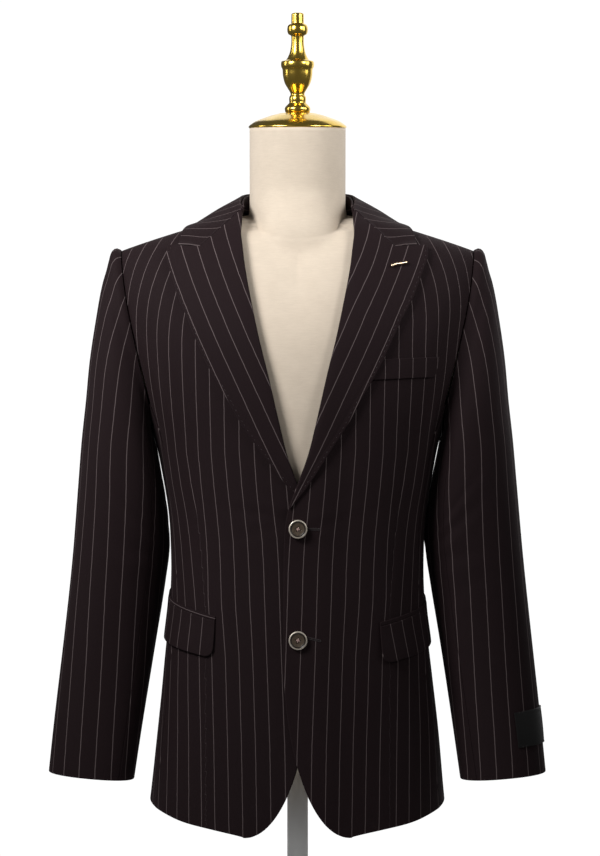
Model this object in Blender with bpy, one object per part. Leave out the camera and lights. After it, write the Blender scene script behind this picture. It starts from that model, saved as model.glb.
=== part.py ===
"""A two-button, peak-lapel suit jacket on a limbless dress form, at full size, in metres.

X runs across with the wearer's left at +X, the front faces -Y and Z is up from the underside of the base.
The jacket's body is one surface: at each height a rounded section of a given half width and depth, closed over
the shoulders by the shoulder line. Every cloth piece is a patch of that surface, or lies on it at a stated distance.
"""

import math

import bpy
import numpy as np

CLOTH = 0.002  # thickness of a cloth wall
SEAM = 0.0004  # gap between two pieces at a seam
REST = 0.0012  # gap under a piece that lies on another one

# The body's sections from the hem up.
BODY = np.array(
    [  # height, half width, depth to the front, depth to the back
        (0.100, 0.1835, 0.109, 0.120),
        (0.150, 0.1780, 0.109, 0.118),
        (0.220, 0.1710, 0.107, 0.113),
        (0.300, 0.1620, 0.105, 0.105),
        (0.380, 0.1545, 0.104, 0.096),
        (0.440, 0.1520, 0.104, 0.091),
        (0.490, 0.1535, 0.106, 0.091),
        (0.540, 0.1620, 0.110, 0.096),
        (0.590, 0.1735, 0.115, 0.104),
        (0.620, 0.1845, 0.118, 0.108),
        (0.660, 0.1990, 0.120, 0.113),
        (0.700, 0.2093, 0.119, 0.115),
        (0.750, 0.2207, 0.112, 0.113),
        (0.811, 0.2297, 0.100, 0.104),
        (0.870, 0.2350, 0.090, 0.092),
        (0.930, 0.2360, 0.082, 0.084),
    ]
)
SHOULDER = np.array(
    [  # distance from the middle, height of the shoulder line there
        (0.0000, 0.9300),
        (0.0400, 0.8850),
        (0.0600, 0.8655),
        (0.0705, 0.8585),
        (0.1000, 0.8478),
        (0.1250, 0.8395),
        (0.1500, 0.8318),
        (0.1736, 0.8243),
        (0.2123, 0.8110),
        (0.2400, 0.8000),
    ]
)
ROUND = 2.3  # roundness of a section across; 2 is an ellipse
SHOULDER_ROUND = 2.6  # the same over the shoulder
SHOULDER_FROM = 0.68  # height where the shoulders begin to close

HEM = np.array(
    [  # angle from the centre front, height of the hem
        (18, 0.1178),
        (36, 0.1262),
        (50, 0.1325),
        (64, 0.1410),
        (78, 0.1475),
        (90, 0.1510),
        (110, 0.1560),
        (180, 0.1760),
    ]
)
HEM_FROM = 0.062  # the hem starts this far from the middle, and the rounded front edge ends there
EDGE_PAST = 0.0165  # how far the front edge passes the centre front
CUTAWAY_TOP = 0.33  # below this height the front edge curves away
ROLL = np.array(
    [  # height, distance of the roll line from the middle, on its own side
        (0.5030, -0.0105),
        (0.5133, -0.0068),
        (0.5330, -0.0005),
        (0.5665, 0.0112),
        (0.6000, 0.0195),
        (0.6600, 0.0333),
        (0.7000, 0.0432),
        (0.7350, 0.0505),
        (0.7900, 0.0605),
        (0.8200, 0.0645),
        (0.8585, 0.0705),
    ]
)
BREAK = 0.5133  # height where the roll line meets the front edge
SEAM_ANGLE = 0.18  # degrees that a piece stops short of a side seam
SIDE_ANGLE = 70  # the seams of the side body, from the centre front and from the centre back

ARM_LOW, ARM_HIGH = 0.590, 0.811  # lowest and highest point of the armhole
ARM_REACH = 24  # how many degrees the armhole reaches to each side of the body's side line
ARM_ROUND = 2.2  # roundness of the armhole under the arm

BACK_NECK = 0.8570  # height of the neck seam at the centre back
NECK_HALF = 0.0705  # distance of the neck seam's ends from the middle

FRONT_ROWS = (15, 8)  # rows of points below and above the foot of the armhole seam
FRONT_COLUMNS, SIDE_COLUMNS, BACK_COLUMNS = 11, 6, 9
HEM_CROWDING = 1.35  # over 1 crowds the rows towards the hem

WOOL = (0.020, 0.013, 0.015)
SATIN = (0.012, 0.011, 0.012)
HORN = (0.070, 0.045, 0.035)
LINEN = (0.740, 0.650, 0.520)
BRASS = (0.820, 0.560, 0.180)
WHITE = (0.850, 0.850, 0.850)


# ---- Curves and the body's surface ----


def smooth(x, knots, values):
    """The cubic curve through (knots, values), with each knot's slope taken from its neighbours."""
    slope = np.gradient(values, knots)
    i = np.clip(np.searchsorted(knots, x) - 1, 0, len(knots) - 2)
    span = knots[i + 1] - knots[i]
    t = np.clip((x - knots[i]) / span, 0, 1)
    rise = t * t * (3 - 2 * t)
    ends = values[i] * (1 - rise) + values[i + 1] * rise
    return ends + span * t * (1 - t) * (slope[i] * (1 - t) - slope[i + 1] * t)


def path(points, t):
    """Points at shares t, from 0 to 1, of the smooth curve through the given points."""
    points = np.asarray(points, float)
    steps = np.linalg.norm(np.diff(points, axis=0), axis=1)
    along = np.concatenate([[0], np.cumsum(steps)]) / steps.sum()
    return np.stack([smooth(t, along, column) for column in points.T], axis=-1)


def ease(x):
    """A smooth step from 0 to 1."""
    x = np.clip(x, 0, 1)
    return x * x * (3 - 2 * x)


def half_width(z):
    return smooth(z, BODY[:, 0], BODY[:, 1])


def depth(x, z, back=False):
    """Distance of the body's surface from the plane y = 0, in front of it or behind it."""
    deep = smooth(z, BODY[:, 0], BODY[:, 3 if back else 2])
    across = np.clip(1 - np.abs(x / half_width(z)) ** ROUND, 0, 1) ** (1 / ROUND)
    top = smooth(np.abs(x), SHOULDER[:, 0], SHOULDER[:, 1])
    rise = np.clip((z - SHOULDER_FROM) / (top - SHOULDER_FROM), 0, 1)
    return deep * across * (1 - rise**SHOULDER_ROUND) ** (1 / SHOULDER_ROUND)


def across_at(angle, z):
    """x at an angle from the centre front, 90 at the side and 180 at the centre back."""
    turn = np.sin(np.radians(angle))
    return half_width(z) * np.sign(turn) * np.abs(turn) ** (2 / ROUND)


def angle_at(x, z):
    """The angle under 90 that across_at turns into x."""
    share = np.clip(np.abs(x) / half_width(z), 0, 1) ** (ROUND / 2)
    return np.sign(x) * np.degrees(np.arcsin(share))


def body(angle, z):
    """The body's surface at an angle and a height, kept half a seam clear of the middle planes."""
    x = across_at(angle, z)
    back = angle > 90
    y = np.where(back, depth(x, z, back=True), -depth(x, z))
    x = np.where(angle > 135, np.maximum(x, SEAM / 2), x)
    y = np.where(back, np.maximum(y, SEAM / 2), np.minimum(y, -SEAM / 2))
    return np.stack([x, y, z], axis=-1)


def moved_out(surface, u, v, out, du=0.05, dv=0.0005):
    """surface(u, v) moved out along its normal, which is the cross product of its steps in u and in v."""
    u, v = np.broadcast_arrays(np.asarray(u, float), np.asarray(v, float))
    across = surface(u + du, v) - surface(u - du, v)
    along = surface(u, v + dv) - surface(u, v - dv)
    normal = np.cross(across, along)
    normal /= np.maximum(np.linalg.norm(normal, axis=-1, keepdims=True), 1e-12)
    return surface(u, v) + normal * np.asarray(out, float)[..., None]


def body_out(angle, z, out):
    return moved_out(body, angle, z, out)


def armhole(turn):
    """The armhole seam: turn is 0 on the shoulder, 90 at the front, 180 under the arm and 270 at the back."""
    rise, swing = np.cos(np.radians(turn)), np.sin(np.radians(turn))
    above = SHOULDER_FROM + (ARM_HIGH - SHOULDER_FROM) * np.abs(rise) ** (2 / SHOULDER_ROUND)
    below = SHOULDER_FROM - (SHOULDER_FROM - ARM_LOW) * np.abs(rise) ** (2 / ARM_ROUND)
    reach = np.where(rise > 0, ARM_REACH, ARM_REACH * np.abs(swing) ** (2 / ARM_ROUND))
    return 90 - np.where(swing >= 0, 1, -1) * reach, np.where(rise > 0, above, below)


def arm_reach(z):
    """How many degrees from the side line the armhole seam is at this height."""
    share = np.clip((SHOULDER_FROM - z) / (SHOULDER_FROM - ARM_LOW), 0, 1)
    return ARM_REACH * (1 - share**ARM_ROUND) ** (1 / ARM_ROUND)


def arm_low(angle):
    """Height of the armhole's lower arch at an angle near the side line."""
    share = np.clip(np.abs(angle - 90) / ARM_REACH, 0, 1)
    return SHOULDER_FROM - (SHOULDER_FROM - ARM_LOW) * (1 - share**ARM_ROUND) ** (1 / ARM_ROUND)


SIDE_TOP = float(arm_low(SIDE_ANGLE))  # height where a side seam runs into the armhole


def front_edge(z):
    """Distance of the front edge from the middle: the roll line, the straight edge, then the cutaway."""
    away = np.clip((CUTAWAY_TOP - z) / (CUTAWAY_TOP - HEM[0, 1]), 0, 1)
    below = -EDGE_PAST + (EDGE_PAST + HEM_FROM) * (1 - np.sqrt(1 - away**2))
    roll = smooth(z, ROLL[:, 0], ROLL[:, 1])
    start = smooth(BREAK, ROLL[:, 0], ROLL[:, 1])
    below = below + (start + EDGE_PAST) * np.exp(-np.abs(BREAK - z) / 0.02)
    return np.where(z < BREAK, below, roll)


def strand_angle(z, s):
    """Angle of the front's lengthwise line s, which runs from 0 at the front edge to 1 at the side seam."""
    inner = angle_at(front_edge(z), z)
    outer = np.where(z < SIDE_TOP, SIDE_ANGLE - SEAM_ANGLE, 90 - arm_reach(z) - 0.3)
    return inner + (outer - inner) * s


def highest(inside, s, low, high):
    """For each line s, the greatest height where inside(height, s) holds, found by halving."""
    low, high = np.full(s.shape, low), np.full(s.shape, high)
    for _ in range(40):
        middle = (low + high) / 2
        held = inside(middle, s)
        low, high = np.where(held, middle, low), np.where(held, high, middle)
    return low


def rows_between(bottom, middle, top, counts):
    """Heights for a whole panel: crowded towards the hem below, and towards the shoulder line above."""
    below = np.linspace(0, 1, counts[0]) ** HEM_CROWDING
    above = 1 - (1 - np.linspace(0, 1, counts[1] + 1)[1:]) ** SHOULDER_ROUND
    lower = bottom + (middle - bottom) * below[:, None]
    upper = middle + (top - middle) * above[:, None]
    return np.concatenate([lower, upper])


def overlap_lift(x, z):
    """How far the left front stands off the right one where they overlap, more where a lapel lies between."""
    lapel = np.exp(-(((z - 0.515) / 0.05) ** 2))
    return (CLOTH + REST + 0.0036 * lapel) * (1 - ease((x - 0.022) / 0.04))


# ---- Making objects ----


def clear_scene():
    for obj in list(bpy.data.objects):
        bpy.data.objects.remove(obj, do_unlink=True)


def material(name, colour, roughness, metallic=0.0):
    made = bpy.data.materials.new(name)
    made.use_nodes = True
    shader = made.node_tree.nodes["Principled BSDF"]
    shader.inputs["Base Color"].default_value = (*colour, 1)
    shader.inputs["Roughness"].default_value = roughness
    shader.inputs["Metallic"].default_value = metallic
    made.diffuse_color = (*colour, 1)
    return made


def add(name, vertices, faces, look):
    mesh = bpy.data.meshes.new(name)
    mesh.from_pydata([tuple(map(float, v)) for v in vertices], [], faces)
    mesh.materials.append(material(name, *look))
    mesh.shade_smooth()
    obj = bpy.data.objects.new(name, mesh)
    bpy.context.scene.collection.objects.link(obj)
    return obj


def normals_of(grid):
    """Unit normals of a grid of points, from its differences along the columns and the rows."""
    normal = np.cross(np.gradient(grid, axis=1), np.gradient(grid, axis=0))
    return normal / np.maximum(np.linalg.norm(normal, axis=-1, keepdims=True), 1e-12)


def wall_faces(rows, columns):
    """Quads of a closed wall: the outer grid, the inner one after it, and the rim between them."""
    index = np.arange(rows * columns).reshape(rows, columns)
    outer = np.stack([index[:-1, :-1], index[:-1, 1:], index[1:, 1:], index[1:, :-1]], axis=-1)
    inner = outer[..., ::-1] + rows * columns
    rim = np.concatenate([index[0], index[1:, -1], index[-1, -2::-1], index[-2:0:-1, 0]])
    after = np.roll(rim, -1)
    edge = np.stack([after, rim, rim + rows * columns, after + rows * columns], axis=-1)
    return np.concatenate([outer.reshape(-1, 4), inner.reshape(-1, 4), edge])


def cloth(name, grid, side=1, thick=CLOTH, keep=None, inner=None, look=(WOOL, 0.85)):
    """A cloth wall from its outer face, a grid of points whose columns run round and whose rows run up.

    keep moves the inner face's points back to their own side of a seam; inner gives that face outright.
    """
    inner = grid - thick * normals_of(grid) if inner is None else inner
    points = np.concatenate([grid.reshape(-1, 3), (keep(inner) if keep else inner).reshape(-1, 3)])
    faces = wall_faces(*grid.shape[:2])
    if side < 0:
        points, faces = points * np.array([-1, 1, 1]), faces[:, ::-1]
    return add(name, points, faces.tolist(), look)


def turned(name, profile, look, steps=32):
    """A solid of revolution from its profile (radius, height), which runs down its outer side from axis to axis."""
    obj = add(name, [(r, 0, z) for r, z in profile], [], look)
    mesh = obj.data
    mesh.edges.add(len(profile) - 1)
    for i, edge in enumerate(mesh.edges):
        edge.vertices = (i, i + 1)
    screw = obj.modifiers.new("Turn", "SCREW")
    screw.steps = screw.render_steps = steps
    screw.use_merge_vertices = True
    screw.merge_threshold = 1e-5
    return obj


# ---- The jacket's body ----


def front_grid(side):
    s = np.linspace(0, 1, FRONT_COLUMNS) ** 1.1
    start = angle_at(HEM_FROM, HEM[0, 1])
    bottom = smooth(start + (SIDE_ANGLE - start) * s, HEM[:, 0], HEM[:, 1])

    def under_shoulder(z, s):
        x = across_at(strand_angle(z, s), z)
        return z < smooth(np.abs(x), SHOULDER[:, 0], SHOULDER[:, 1])

    top = highest(under_shoulder, s, SIDE_TOP, 0.9)
    z = rows_between(bottom, SIDE_TOP, top, FRONT_ROWS)
    angle = strand_angle(z, s)
    lift = overlap_lift(across_at(angle, z), z) if side > 0 else 0 * z
    return body(angle, z) - np.stack([0 * z, lift, 0 * z], axis=-1)


def side_grid():
    angle = np.linspace(SIDE_ANGLE + SEAM_ANGLE, 180 - SIDE_ANGLE - SEAM_ANGLE, SIDE_COLUMNS)
    top = arm_low(angle) - SEAM
    bottom = smooth(angle, HEM[:, 0], HEM[:, 1])
    z = rows_between(bottom, top, top, (FRONT_ROWS[0], 0))
    return body(angle + 0 * z, z)


def back_grid():
    s = np.linspace(0, 1, BACK_COLUMNS)
    bottom = smooth(180 - SIDE_ANGLE + SIDE_ANGLE * s, HEM[:, 0], HEM[:, 1])

    def angle_of(z, s):
        outer = np.where(z < SIDE_TOP, 180 - SIDE_ANGLE + SEAM_ANGLE, 90 + arm_reach(z) + 0.3)
        return outer + (180 - outer) * s

    def under_top(z, s):
        x = across_at(angle_of(z, s), z)
        neck = BACK_NECK + (SHOULDER[3, 1] - BACK_NECK) * (x / NECK_HALF) ** 2
        return (z < smooth(x, SHOULDER[:, 0], SHOULDER[:, 1])) & ((z < neck) | (x > NECK_HALF))

    top = highest(under_top, s, SIDE_TOP, 0.9)
    z = rows_between(bottom, SIDE_TOP, top, FRONT_ROWS)
    return body(angle_of(z, s), z)


def ahead(points):
    """Keeps a front's inner face in front of the shoulder seam."""
    points[..., 1] = np.minimum(points[..., 1], -SEAM / 2)
    return points


def behind(points):
    """Keeps a back's inner face behind the shoulder seam and beside the centre-back seam."""
    points[..., 1] = np.maximum(points[..., 1], SEAM / 2)
    points[..., 0] = np.maximum(points[..., 0], SEAM / 2)
    return points


clear_scene()
for side, hand in ((1, "left"), (-1, "right")):
    cloth(f"front_{hand}", front_grid(side), side, keep=ahead)
    cloth(f"side_{hand}", side_grid(), side)
    cloth(f"back_{hand}", back_grid(), side, keep=behind)


# ---- Sleeves: rings strung between an outer and an inner line, the first ring being the armhole ----

SLEEVE_OUTER = np.array(
    [  # distance from the middle, height, down the sleeve's outer side
        (0.2130, 0.8116),
        (0.2190, 0.8128),
        (0.2245, 0.8088),
        (0.2290, 0.7990),
        (0.2330, 0.7840),
        (0.2375, 0.7640),
        (0.2437, 0.7276),
        (0.2508, 0.6790),
        (0.2556, 0.6309),
        (0.2612, 0.5825),
        (0.2655, 0.5340),
        (0.2735, 0.4374),
        (0.2830, 0.3407),
        (0.2930, 0.2440),
        (0.2985, 0.1850),
    ]
)
SLEEVE_INNER = np.array(
    [  # the same down its inner side, from under the arm
        (0.1745, 0.5900),
        (0.1702, 0.5700),
        (0.1634, 0.5400),
        (0.1576, 0.5100),
        (0.1548, 0.4800),
        (0.1556, 0.4495),
        (0.1605, 0.4130),
        (0.1717, 0.3407),
        (0.1790, 0.2923),
        (0.1862, 0.2440),
        (0.1960, 0.1757),
    ]
)
SLEEVE_RINGS = np.array(
    [  # share of the length, half depth, how far back its middle lies
        (0.00, 0.055, 0.000),
        (0.08, 0.063, 0.001),
        (0.20, 0.072, 0.004),
        (0.35, 0.072, 0.008),
        (0.50, 0.066, 0.011),
        (0.65, 0.058, 0.009),
        (0.80, 0.050, 0.000),
        (1.00, 0.042, -0.018),
    ]
)
INNER_LAG = 1.5  # the inner line starts late, so the rings turn from upright at the armhole to level at the cuff
SLEEVE_ROUND = 2.2
HEAD_SHARE = 0.22  # the share of the length over which the armhole's shape passes into the rings'
FORE_SEAM, HIND_SEAM = 130, 242  # places of the two sleeve seams round a ring
TOP_COLUMNS, UNDER_COLUMNS, SLEEVE_ROWS = 13, 7, 15


def bowed(angle, power):
    """Cosine and sine of an angle in degrees, squared off so that a ring is rounder than an ellipse."""
    c, s = np.cos(np.radians(angle)), np.sin(np.radians(angle))
    return np.sign(c) * np.abs(c) ** power, np.sign(s) * np.abs(s) ** power


def ring(turn, share):
    outer = path(SLEEVE_OUTER, share)
    inner = path(SLEEVE_INNER, np.maximum(share, 0) ** INNER_LAG)
    along, aside = bowed(turn, 2 / SLEEVE_ROUND)
    x, z = np.moveaxis((outer + inner) / 2 + (outer - inner) / 2 * along[..., None], -1, 0)
    half = smooth(share, SLEEVE_RINGS[:, 0], SLEEVE_RINGS[:, 1])
    middle = smooth(share, SLEEVE_RINGS[:, 0], SLEEVE_RINGS[:, 2])
    return np.stack([x, middle - half * aside, z], axis=-1)


def sleeve(turn, share):
    """The sleeve's surface: turn runs round from the outer side by the front, share down from the armhole."""
    turn, share = np.broadcast_arrays(np.asarray(turn, float), np.asarray(share, float))
    start = body_out(*armhole(turn), 0.0006)
    fade = 1 - ease(share / HEAD_SHARE)
    return ring(turn, share) + (start - ring(turn, 0 * share)) * fade[..., None]


def sleeve_piece(name, side, first, last, columns):
    turn = np.linspace(first + 0.35, last - 0.35, columns)
    share = np.linspace(0, 1, SLEEVE_ROWS)[:, None] ** 1.25
    cloth(name, sleeve(turn, share), side, inner=moved_out(sleeve, turn, share, -CLOTH, dv=0.002))


for side, hand in ((1, "left"), (-1, "right")):
    sleeve_piece(f"top_sleeve_{hand}", side, HIND_SEAM - 360, FORE_SEAM, TOP_COLUMNS)
    sleeve_piece(f"under_sleeve_{hand}", side, FORE_SEAM, HIND_SEAM, UNDER_COLUMNS)


# ---- Lapels: each is strung from its roll line over a middle line to its outer edge, and lies on its front ----

LAPEL_EDGE = np.array(
    [  # height, distance from the middle, up the outer edge to the tip
        (0.5030, -0.0092),
        (0.5150, 0.0012),
        (0.5400, 0.0195),
        (0.5700, 0.0385),
        (0.6000, 0.0580),
        (0.6350, 0.0770),
        (0.6650, 0.0945),
        (0.7000, 0.1110),
        (0.7250, 0.1225),
        (0.7520, 0.1365),
        (0.7800, 0.1470),
        (0.8020, 0.1545),
        (0.8155, 0.1540),
    ]
)
LAPEL_BELLY = np.array(
    [  # height, how much farther out the edge of the wearer's right lapel lies
        (0.5030, 0.0000),
        (0.5400, 0.0015),
        (0.5700, 0.0055),
        (0.6000, 0.0070),
        (0.6650, 0.0082),
        (0.7000, 0.0082),
        (0.7520, 0.0045),
        (0.8020, 0.0012),
        (0.8155, 0.0000),
    ]
)
ROLL_STAND = np.array(
    [  # height, how far the upper roll line stands in front of the plane y = 0
        (0.5000, 0.0000),
        (0.7600, 0.0600),
        (0.8000, 0.0870),
        (0.8200, 0.0765),
        (0.8400, 0.0620),
        (0.8594, 0.0440),
    ]
)
ROLL_END = (0.0665, 0.8594)  # distance and height where the roll line meets the gorge seam
NOTCH = (0.1145, 0.8125)  # where the gorge seam ends and the lapel's top edge begins
LAPEL_LIFT = (0.0006, 0.0026)  # gap under the lapel at its roll line, and what its outer edge adds
LAPEL_BULGE = 0.012  # fullness of the roll
LAPEL_ROWS, LAPEL_COLUMNS = 15, 9


def steepness(x, z):
    """How many times farther along y than along its normal the body's front is from a point near it."""
    step = 0.001
    aside = (depth(x + step, z) - depth(x - step, z)) / (2 * step)
    rising = (depth(x, z + step) - depth(x, z - step)) / (2 * step)
    return np.minimum(np.sqrt(1 + aside**2 + rising**2), 2.2)


def lapel(s, t, side=1):
    """The lapel's face: s is 0 on the roll line and 1 on the outer edge, t is 0 at its foot and 1 at the gorge."""
    s, t = np.broadcast_arrays(np.asarray(s, float), np.asarray(t, float))
    low = LAPEL_EDGE[0, 0]
    roll_z = low + (ROLL_END[1] - low) * t
    roll_x = smooth(roll_z, ROLL[:, 0], ROLL[:, 1]) + 0.0006
    roll_x = roll_x - (NECK_HALF + 0.0006 - ROLL_END[0]) * ease(t / 0.1 - 9)
    middle_z = low + (NOTCH[1] - low) * t
    middle_x = LAPEL_EDGE[0, 1] + (NOTCH[0] - LAPEL_EDGE[0, 1]) * t
    edge_z = low + (LAPEL_EDGE[-1, 0] - low) * t
    edge_x = smooth(edge_z, LAPEL_EDGE[:, 0], LAPEL_EDGE[:, 1])
    if side < 0:
        edge_x = edge_x + smooth(edge_z, LAPEL_BELLY[:, 0], LAPEL_BELLY[:, 1])
    inward, outward = np.minimum(2 * s, 1), np.maximum(2 * s - 1, 0)
    x = roll_x + (middle_x - roll_x) * inward + (edge_x - middle_x) * outward
    z = roll_z + (middle_z - roll_z) * inward + (edge_z - middle_z) * outward
    gap = LAPEL_LIFT[0] + LAPEL_LIFT[1] * s * ease(t / 0.25)
    gap = gap + LAPEL_BULGE * s * (1 - s) ** 2 * ease(t / 0.15)
    lift = (overlap_lift(x, z) if side > 0 else 0) + (CLOTH + gap) * steepness(x, z)
    lying = depth(x, z) + lift
    roll_y = smooth(roll_z, ROLL_STAND[:, 0], ROLL_STAND[:, 1])
    edge_gap = LAPEL_LIFT[0] + LAPEL_LIFT[1] * ease(t / 0.25)
    edge_y = depth(edge_x, edge_z) + (CLOTH + edge_gap) * steepness(edge_x, edge_z)
    strung = roll_y + (edge_y - roll_y) * s
    y = (lying + strung + np.sqrt((lying - strung) ** 2 + (0.0015 * (1 - s)) ** 2)) / 2
    return np.stack([x, -y, z], axis=-1)


def lapel_grid(side):
    return lapel(np.linspace(0, 1, LAPEL_COLUMNS), np.linspace(0, 1, LAPEL_ROWS)[:, None], side)


for side, hand in ((1, "left"), (-1, "right")):
    cloth(f"lapel_{hand}", lapel_grid(side), side)


# ---- Collar: a fall strung from its fold line to its outer edge, and a stand from the fold to the neck seam ----

COLLAR_FOLD = np.array(
    [  # the left half of the fold line, from the gorge to the centre back
        (0.0665, -0.0440, 0.8594),
        (0.0690, -0.0200, 0.8700),
        (0.0680, 0.0060, 0.8780),
        (0.0600, 0.0400, 0.8845),
        (0.0340, 0.0635, 0.8875),
        (0.0000, 0.0715, 0.8885),
    ]
)
COLLAR_EDGE = np.array(
    [  # the same for the outer edge, from the collar's point
        (0.1410, -0.0560, 0.8156),
        (0.1350, -0.0260, 0.8330),
        (0.1240, 0.0000, 0.8440),
        (0.1000, 0.0400, 0.8400),
        (0.0560, 0.0760, 0.8440),
        (0.0000, 0.0860, 0.8450),
    ]
)
NOTCH_SHARE = 0.68  # share of the collar's front end that the gorge seam takes
COLLAR_FULLNESS = 0.0035
COLLAR_GAP = 0.0022  # least gap under the fall
COLLAR_COLUMNS, COLLAR_ROWS = 13, 7
STAND_FOOT = 0.0013  # gap from the neck seam up to the stand


def mirrored(line):
    return np.concatenate([line, line[-2::-1] * np.array([-1, 1, 1])])


def outside(points, least):
    """Points moved out of the body's surface until they are at least this far from it."""

    def field(p):
        x, y, z = np.moveaxis(p, -1, 0)
        deep = np.where(y < 0, smooth(z, BODY[:, 0], BODY[:, 2]), smooth(z, BODY[:, 0], BODY[:, 3]))
        across = np.clip(1 - np.abs(x / half_width(z)) ** ROUND, 1e-6, 1) ** (1 / ROUND)
        top = smooth(np.abs(x), SHOULDER[:, 0], SHOULDER[:, 1])
        rise = np.maximum(z - SHOULDER_FROM, 0) / (top - SHOULDER_FROM)
        return np.abs(y / (deep * across)) ** SHOULDER_ROUND + rise**SHOULDER_ROUND - 1

    for _ in range(6):
        here = field(points)
        steps = [field(points + step) - field(points - step) for step in 0.0005 * np.eye(3)]
        slope = np.stack(steps, axis=-1) / 0.001
        size = np.linalg.norm(slope, axis=-1)
        short = np.clip(least - here / size, 0, 0.01)
        points = points + slope / size[..., None] * short[..., None]
    return points


def collar_half():
    """The left half of the fall, its rows running up from the outer edge to the fold."""
    along = np.linspace(0, 0.5, COLLAR_COLUMNS)
    up = np.linspace(0, 1, COLLAR_ROWS)[:, None, None]
    fold, edge = path(mirrored(COLLAR_FOLD), along), path(mirrored(COLLAR_EDGE), along)
    strung = edge + (fold - edge) * up
    away = np.array([1, 1, 0]) * strung / np.linalg.norm(strung[..., :2], axis=-1, keepdims=True)
    strung = strung + COLLAR_FULLNESS * np.sin(np.pi * up) * away
    share = 1 - up[:, :, 0]
    past = (share - NOTCH_SHARE) / (1 - NOTCH_SHARE)
    at = np.where(share < NOTCH_SHARE, 0.5 * share / NOTCH_SHARE, 0.5 + 0.335 * past)
    apart = np.where((share < NOTCH_SHARE)[..., None], (0.0011, 0, 0.0011), (0.0006, 0, 0.0016))
    seam = lapel(at, 1.0) + apart
    strung = strung + (seam - strung[:, :1]) * (1 - ease(along / 0.16))[:, None]
    return outside(strung, CLOTH + COLLAR_GAP)


def stand_half():
    """The left half of the stand, its rows running up from the neck seam to the fold."""
    along = np.linspace(0.03, 0.5, COLLAR_COLUMNS)
    fold = path(mirrored(COLLAR_FOLD), along)
    inward = np.array([1, 1, 0]) * fold / np.linalg.norm(fold[:, :2], axis=-1, keepdims=True)
    top = fold - 0.0027 * inward - np.array([0, 0, 0.0008])
    front = np.array([(smooth(z, ROLL[:, 0], ROLL[:, 1]), z) for z in np.linspace(0.842, 0.8575, 5)])
    x = np.concatenate([front[:, 0], np.linspace(NECK_HALF, 0, 9)[1:]])
    behind_z = BACK_NECK + (SHOULDER[3, 1] - BACK_NECK) * (x[5:] / NECK_HALF) ** 2
    z = np.concatenate([front[:, 1], behind_z])
    y = np.concatenate([-depth(x[:5], z[:5]), depth(x[5:], z[5:], back=True)])
    seam = np.stack([x, y, z], axis=-1)
    foot = path(mirrored(seam), np.linspace(0, 0.5, COLLAR_COLUMNS)) + np.array([0, 0, STAND_FOOT])
    return foot + (top - foot) * np.linspace(0, 1, 4)[:, None, None]


def both_halves(grid):
    return np.concatenate([grid, grid[:, -2::-1] * np.array([-1, 1, 1])], axis=1)


cloth("collar", both_halves(collar_half()))
cloth("collar_stand", both_halves(stand_half()))


# ---- Pockets: hip flaps under their jettings, and the breast welt, all lying on the fronts ----

FLAP_START = 0.0965  # distance of a flap's inner end from the middle
FLAP_LENGTH = 0.145  # measured round the body
FLAP_SLOPE = 0.22  # how the pocket line rises towards the side
FLAP_TOP = (0.3634, 0.3704)  # height of the pocket line at its inner end, on the wearer's left and right
FLAP_DEPTH = (0.044, 0.049)  # at the inner and the outer end
FLAP_CORNER = 0.012
JETTING = 0.005  # height of the jetting over the flap
LIES = 0.0008  # gap under a pocket piece
WELT = ((0.0805, 0.6525), (0.1610, 0.6570), (0.1675, 0.6807), (0.0820, 0.6765))  # its corners, inner foot first
WELT_THICK = 0.0016


def round_from(x, z):
    """A function from the distance round the body at height z, starting at x, to the angle there."""
    angle = np.linspace(angle_at(x, z), 150, 400)
    points = body(angle, np.full(400, z))
    run = np.concatenate([[0], np.cumsum(np.linalg.norm(np.diff(points, axis=0), axis=1))])
    return lambda distance: np.interp(distance, run, angle)


def lying(name, side, angle, z, thick):
    cloth(name, body_out(angle, z, LIES + thick), side, inner=body_out(angle, z, LIES))


for side, hand, top in ((1, "left", FLAP_TOP[0]), (-1, "right", FLAP_TOP[1])):
    corner = FLAP_CORNER * np.array([0, 0.12, 0.4])
    distance = np.linspace(FLAP_CORNER, FLAP_LENGTH - FLAP_CORNER, 8)
    distance = np.concatenate([corner, distance, FLAP_LENGTH - corner[::-1]])
    angle = round_from(FLAP_START, top)(distance)
    line = top + FLAP_SLOPE * distance
    from_end = np.minimum(distance, FLAP_LENGTH - distance)
    corner = np.clip(1 - from_end / FLAP_CORNER, 0, 1)
    rounding = FLAP_CORNER * (1 - np.sqrt(1 - corner**2))
    deep = FLAP_DEPTH[0] + (FLAP_DEPTH[1] - FLAP_DEPTH[0]) * distance / FLAP_LENGTH - rounding
    lying(f"flap_{hand}", side, angle, line - deep * np.linspace(1, 0, 4)[:, None], CLOTH)
    band = line + SEAM + np.array([[0.0], [JETTING]])
    lying(f"jetting_{hand}", side, angle, band, 0.0014)

foot_in, foot_out, top_out, top_in = np.array(WELT)
s, t = np.linspace(0, 1, 7)[:, None], np.linspace(0, 1, 3)[:, None, None]
foot, head = foot_in + (foot_out - foot_in) * s, top_in + (top_out - top_in) * s
x, z = np.moveaxis(foot + (head - foot) * t, -1, 0)
lying("breast_welt", 1, angle_at(x, z), z, WELT_THICK)


# ---- Trimmings: two buttons, the lapel bar and the sleeve label ----

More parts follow.
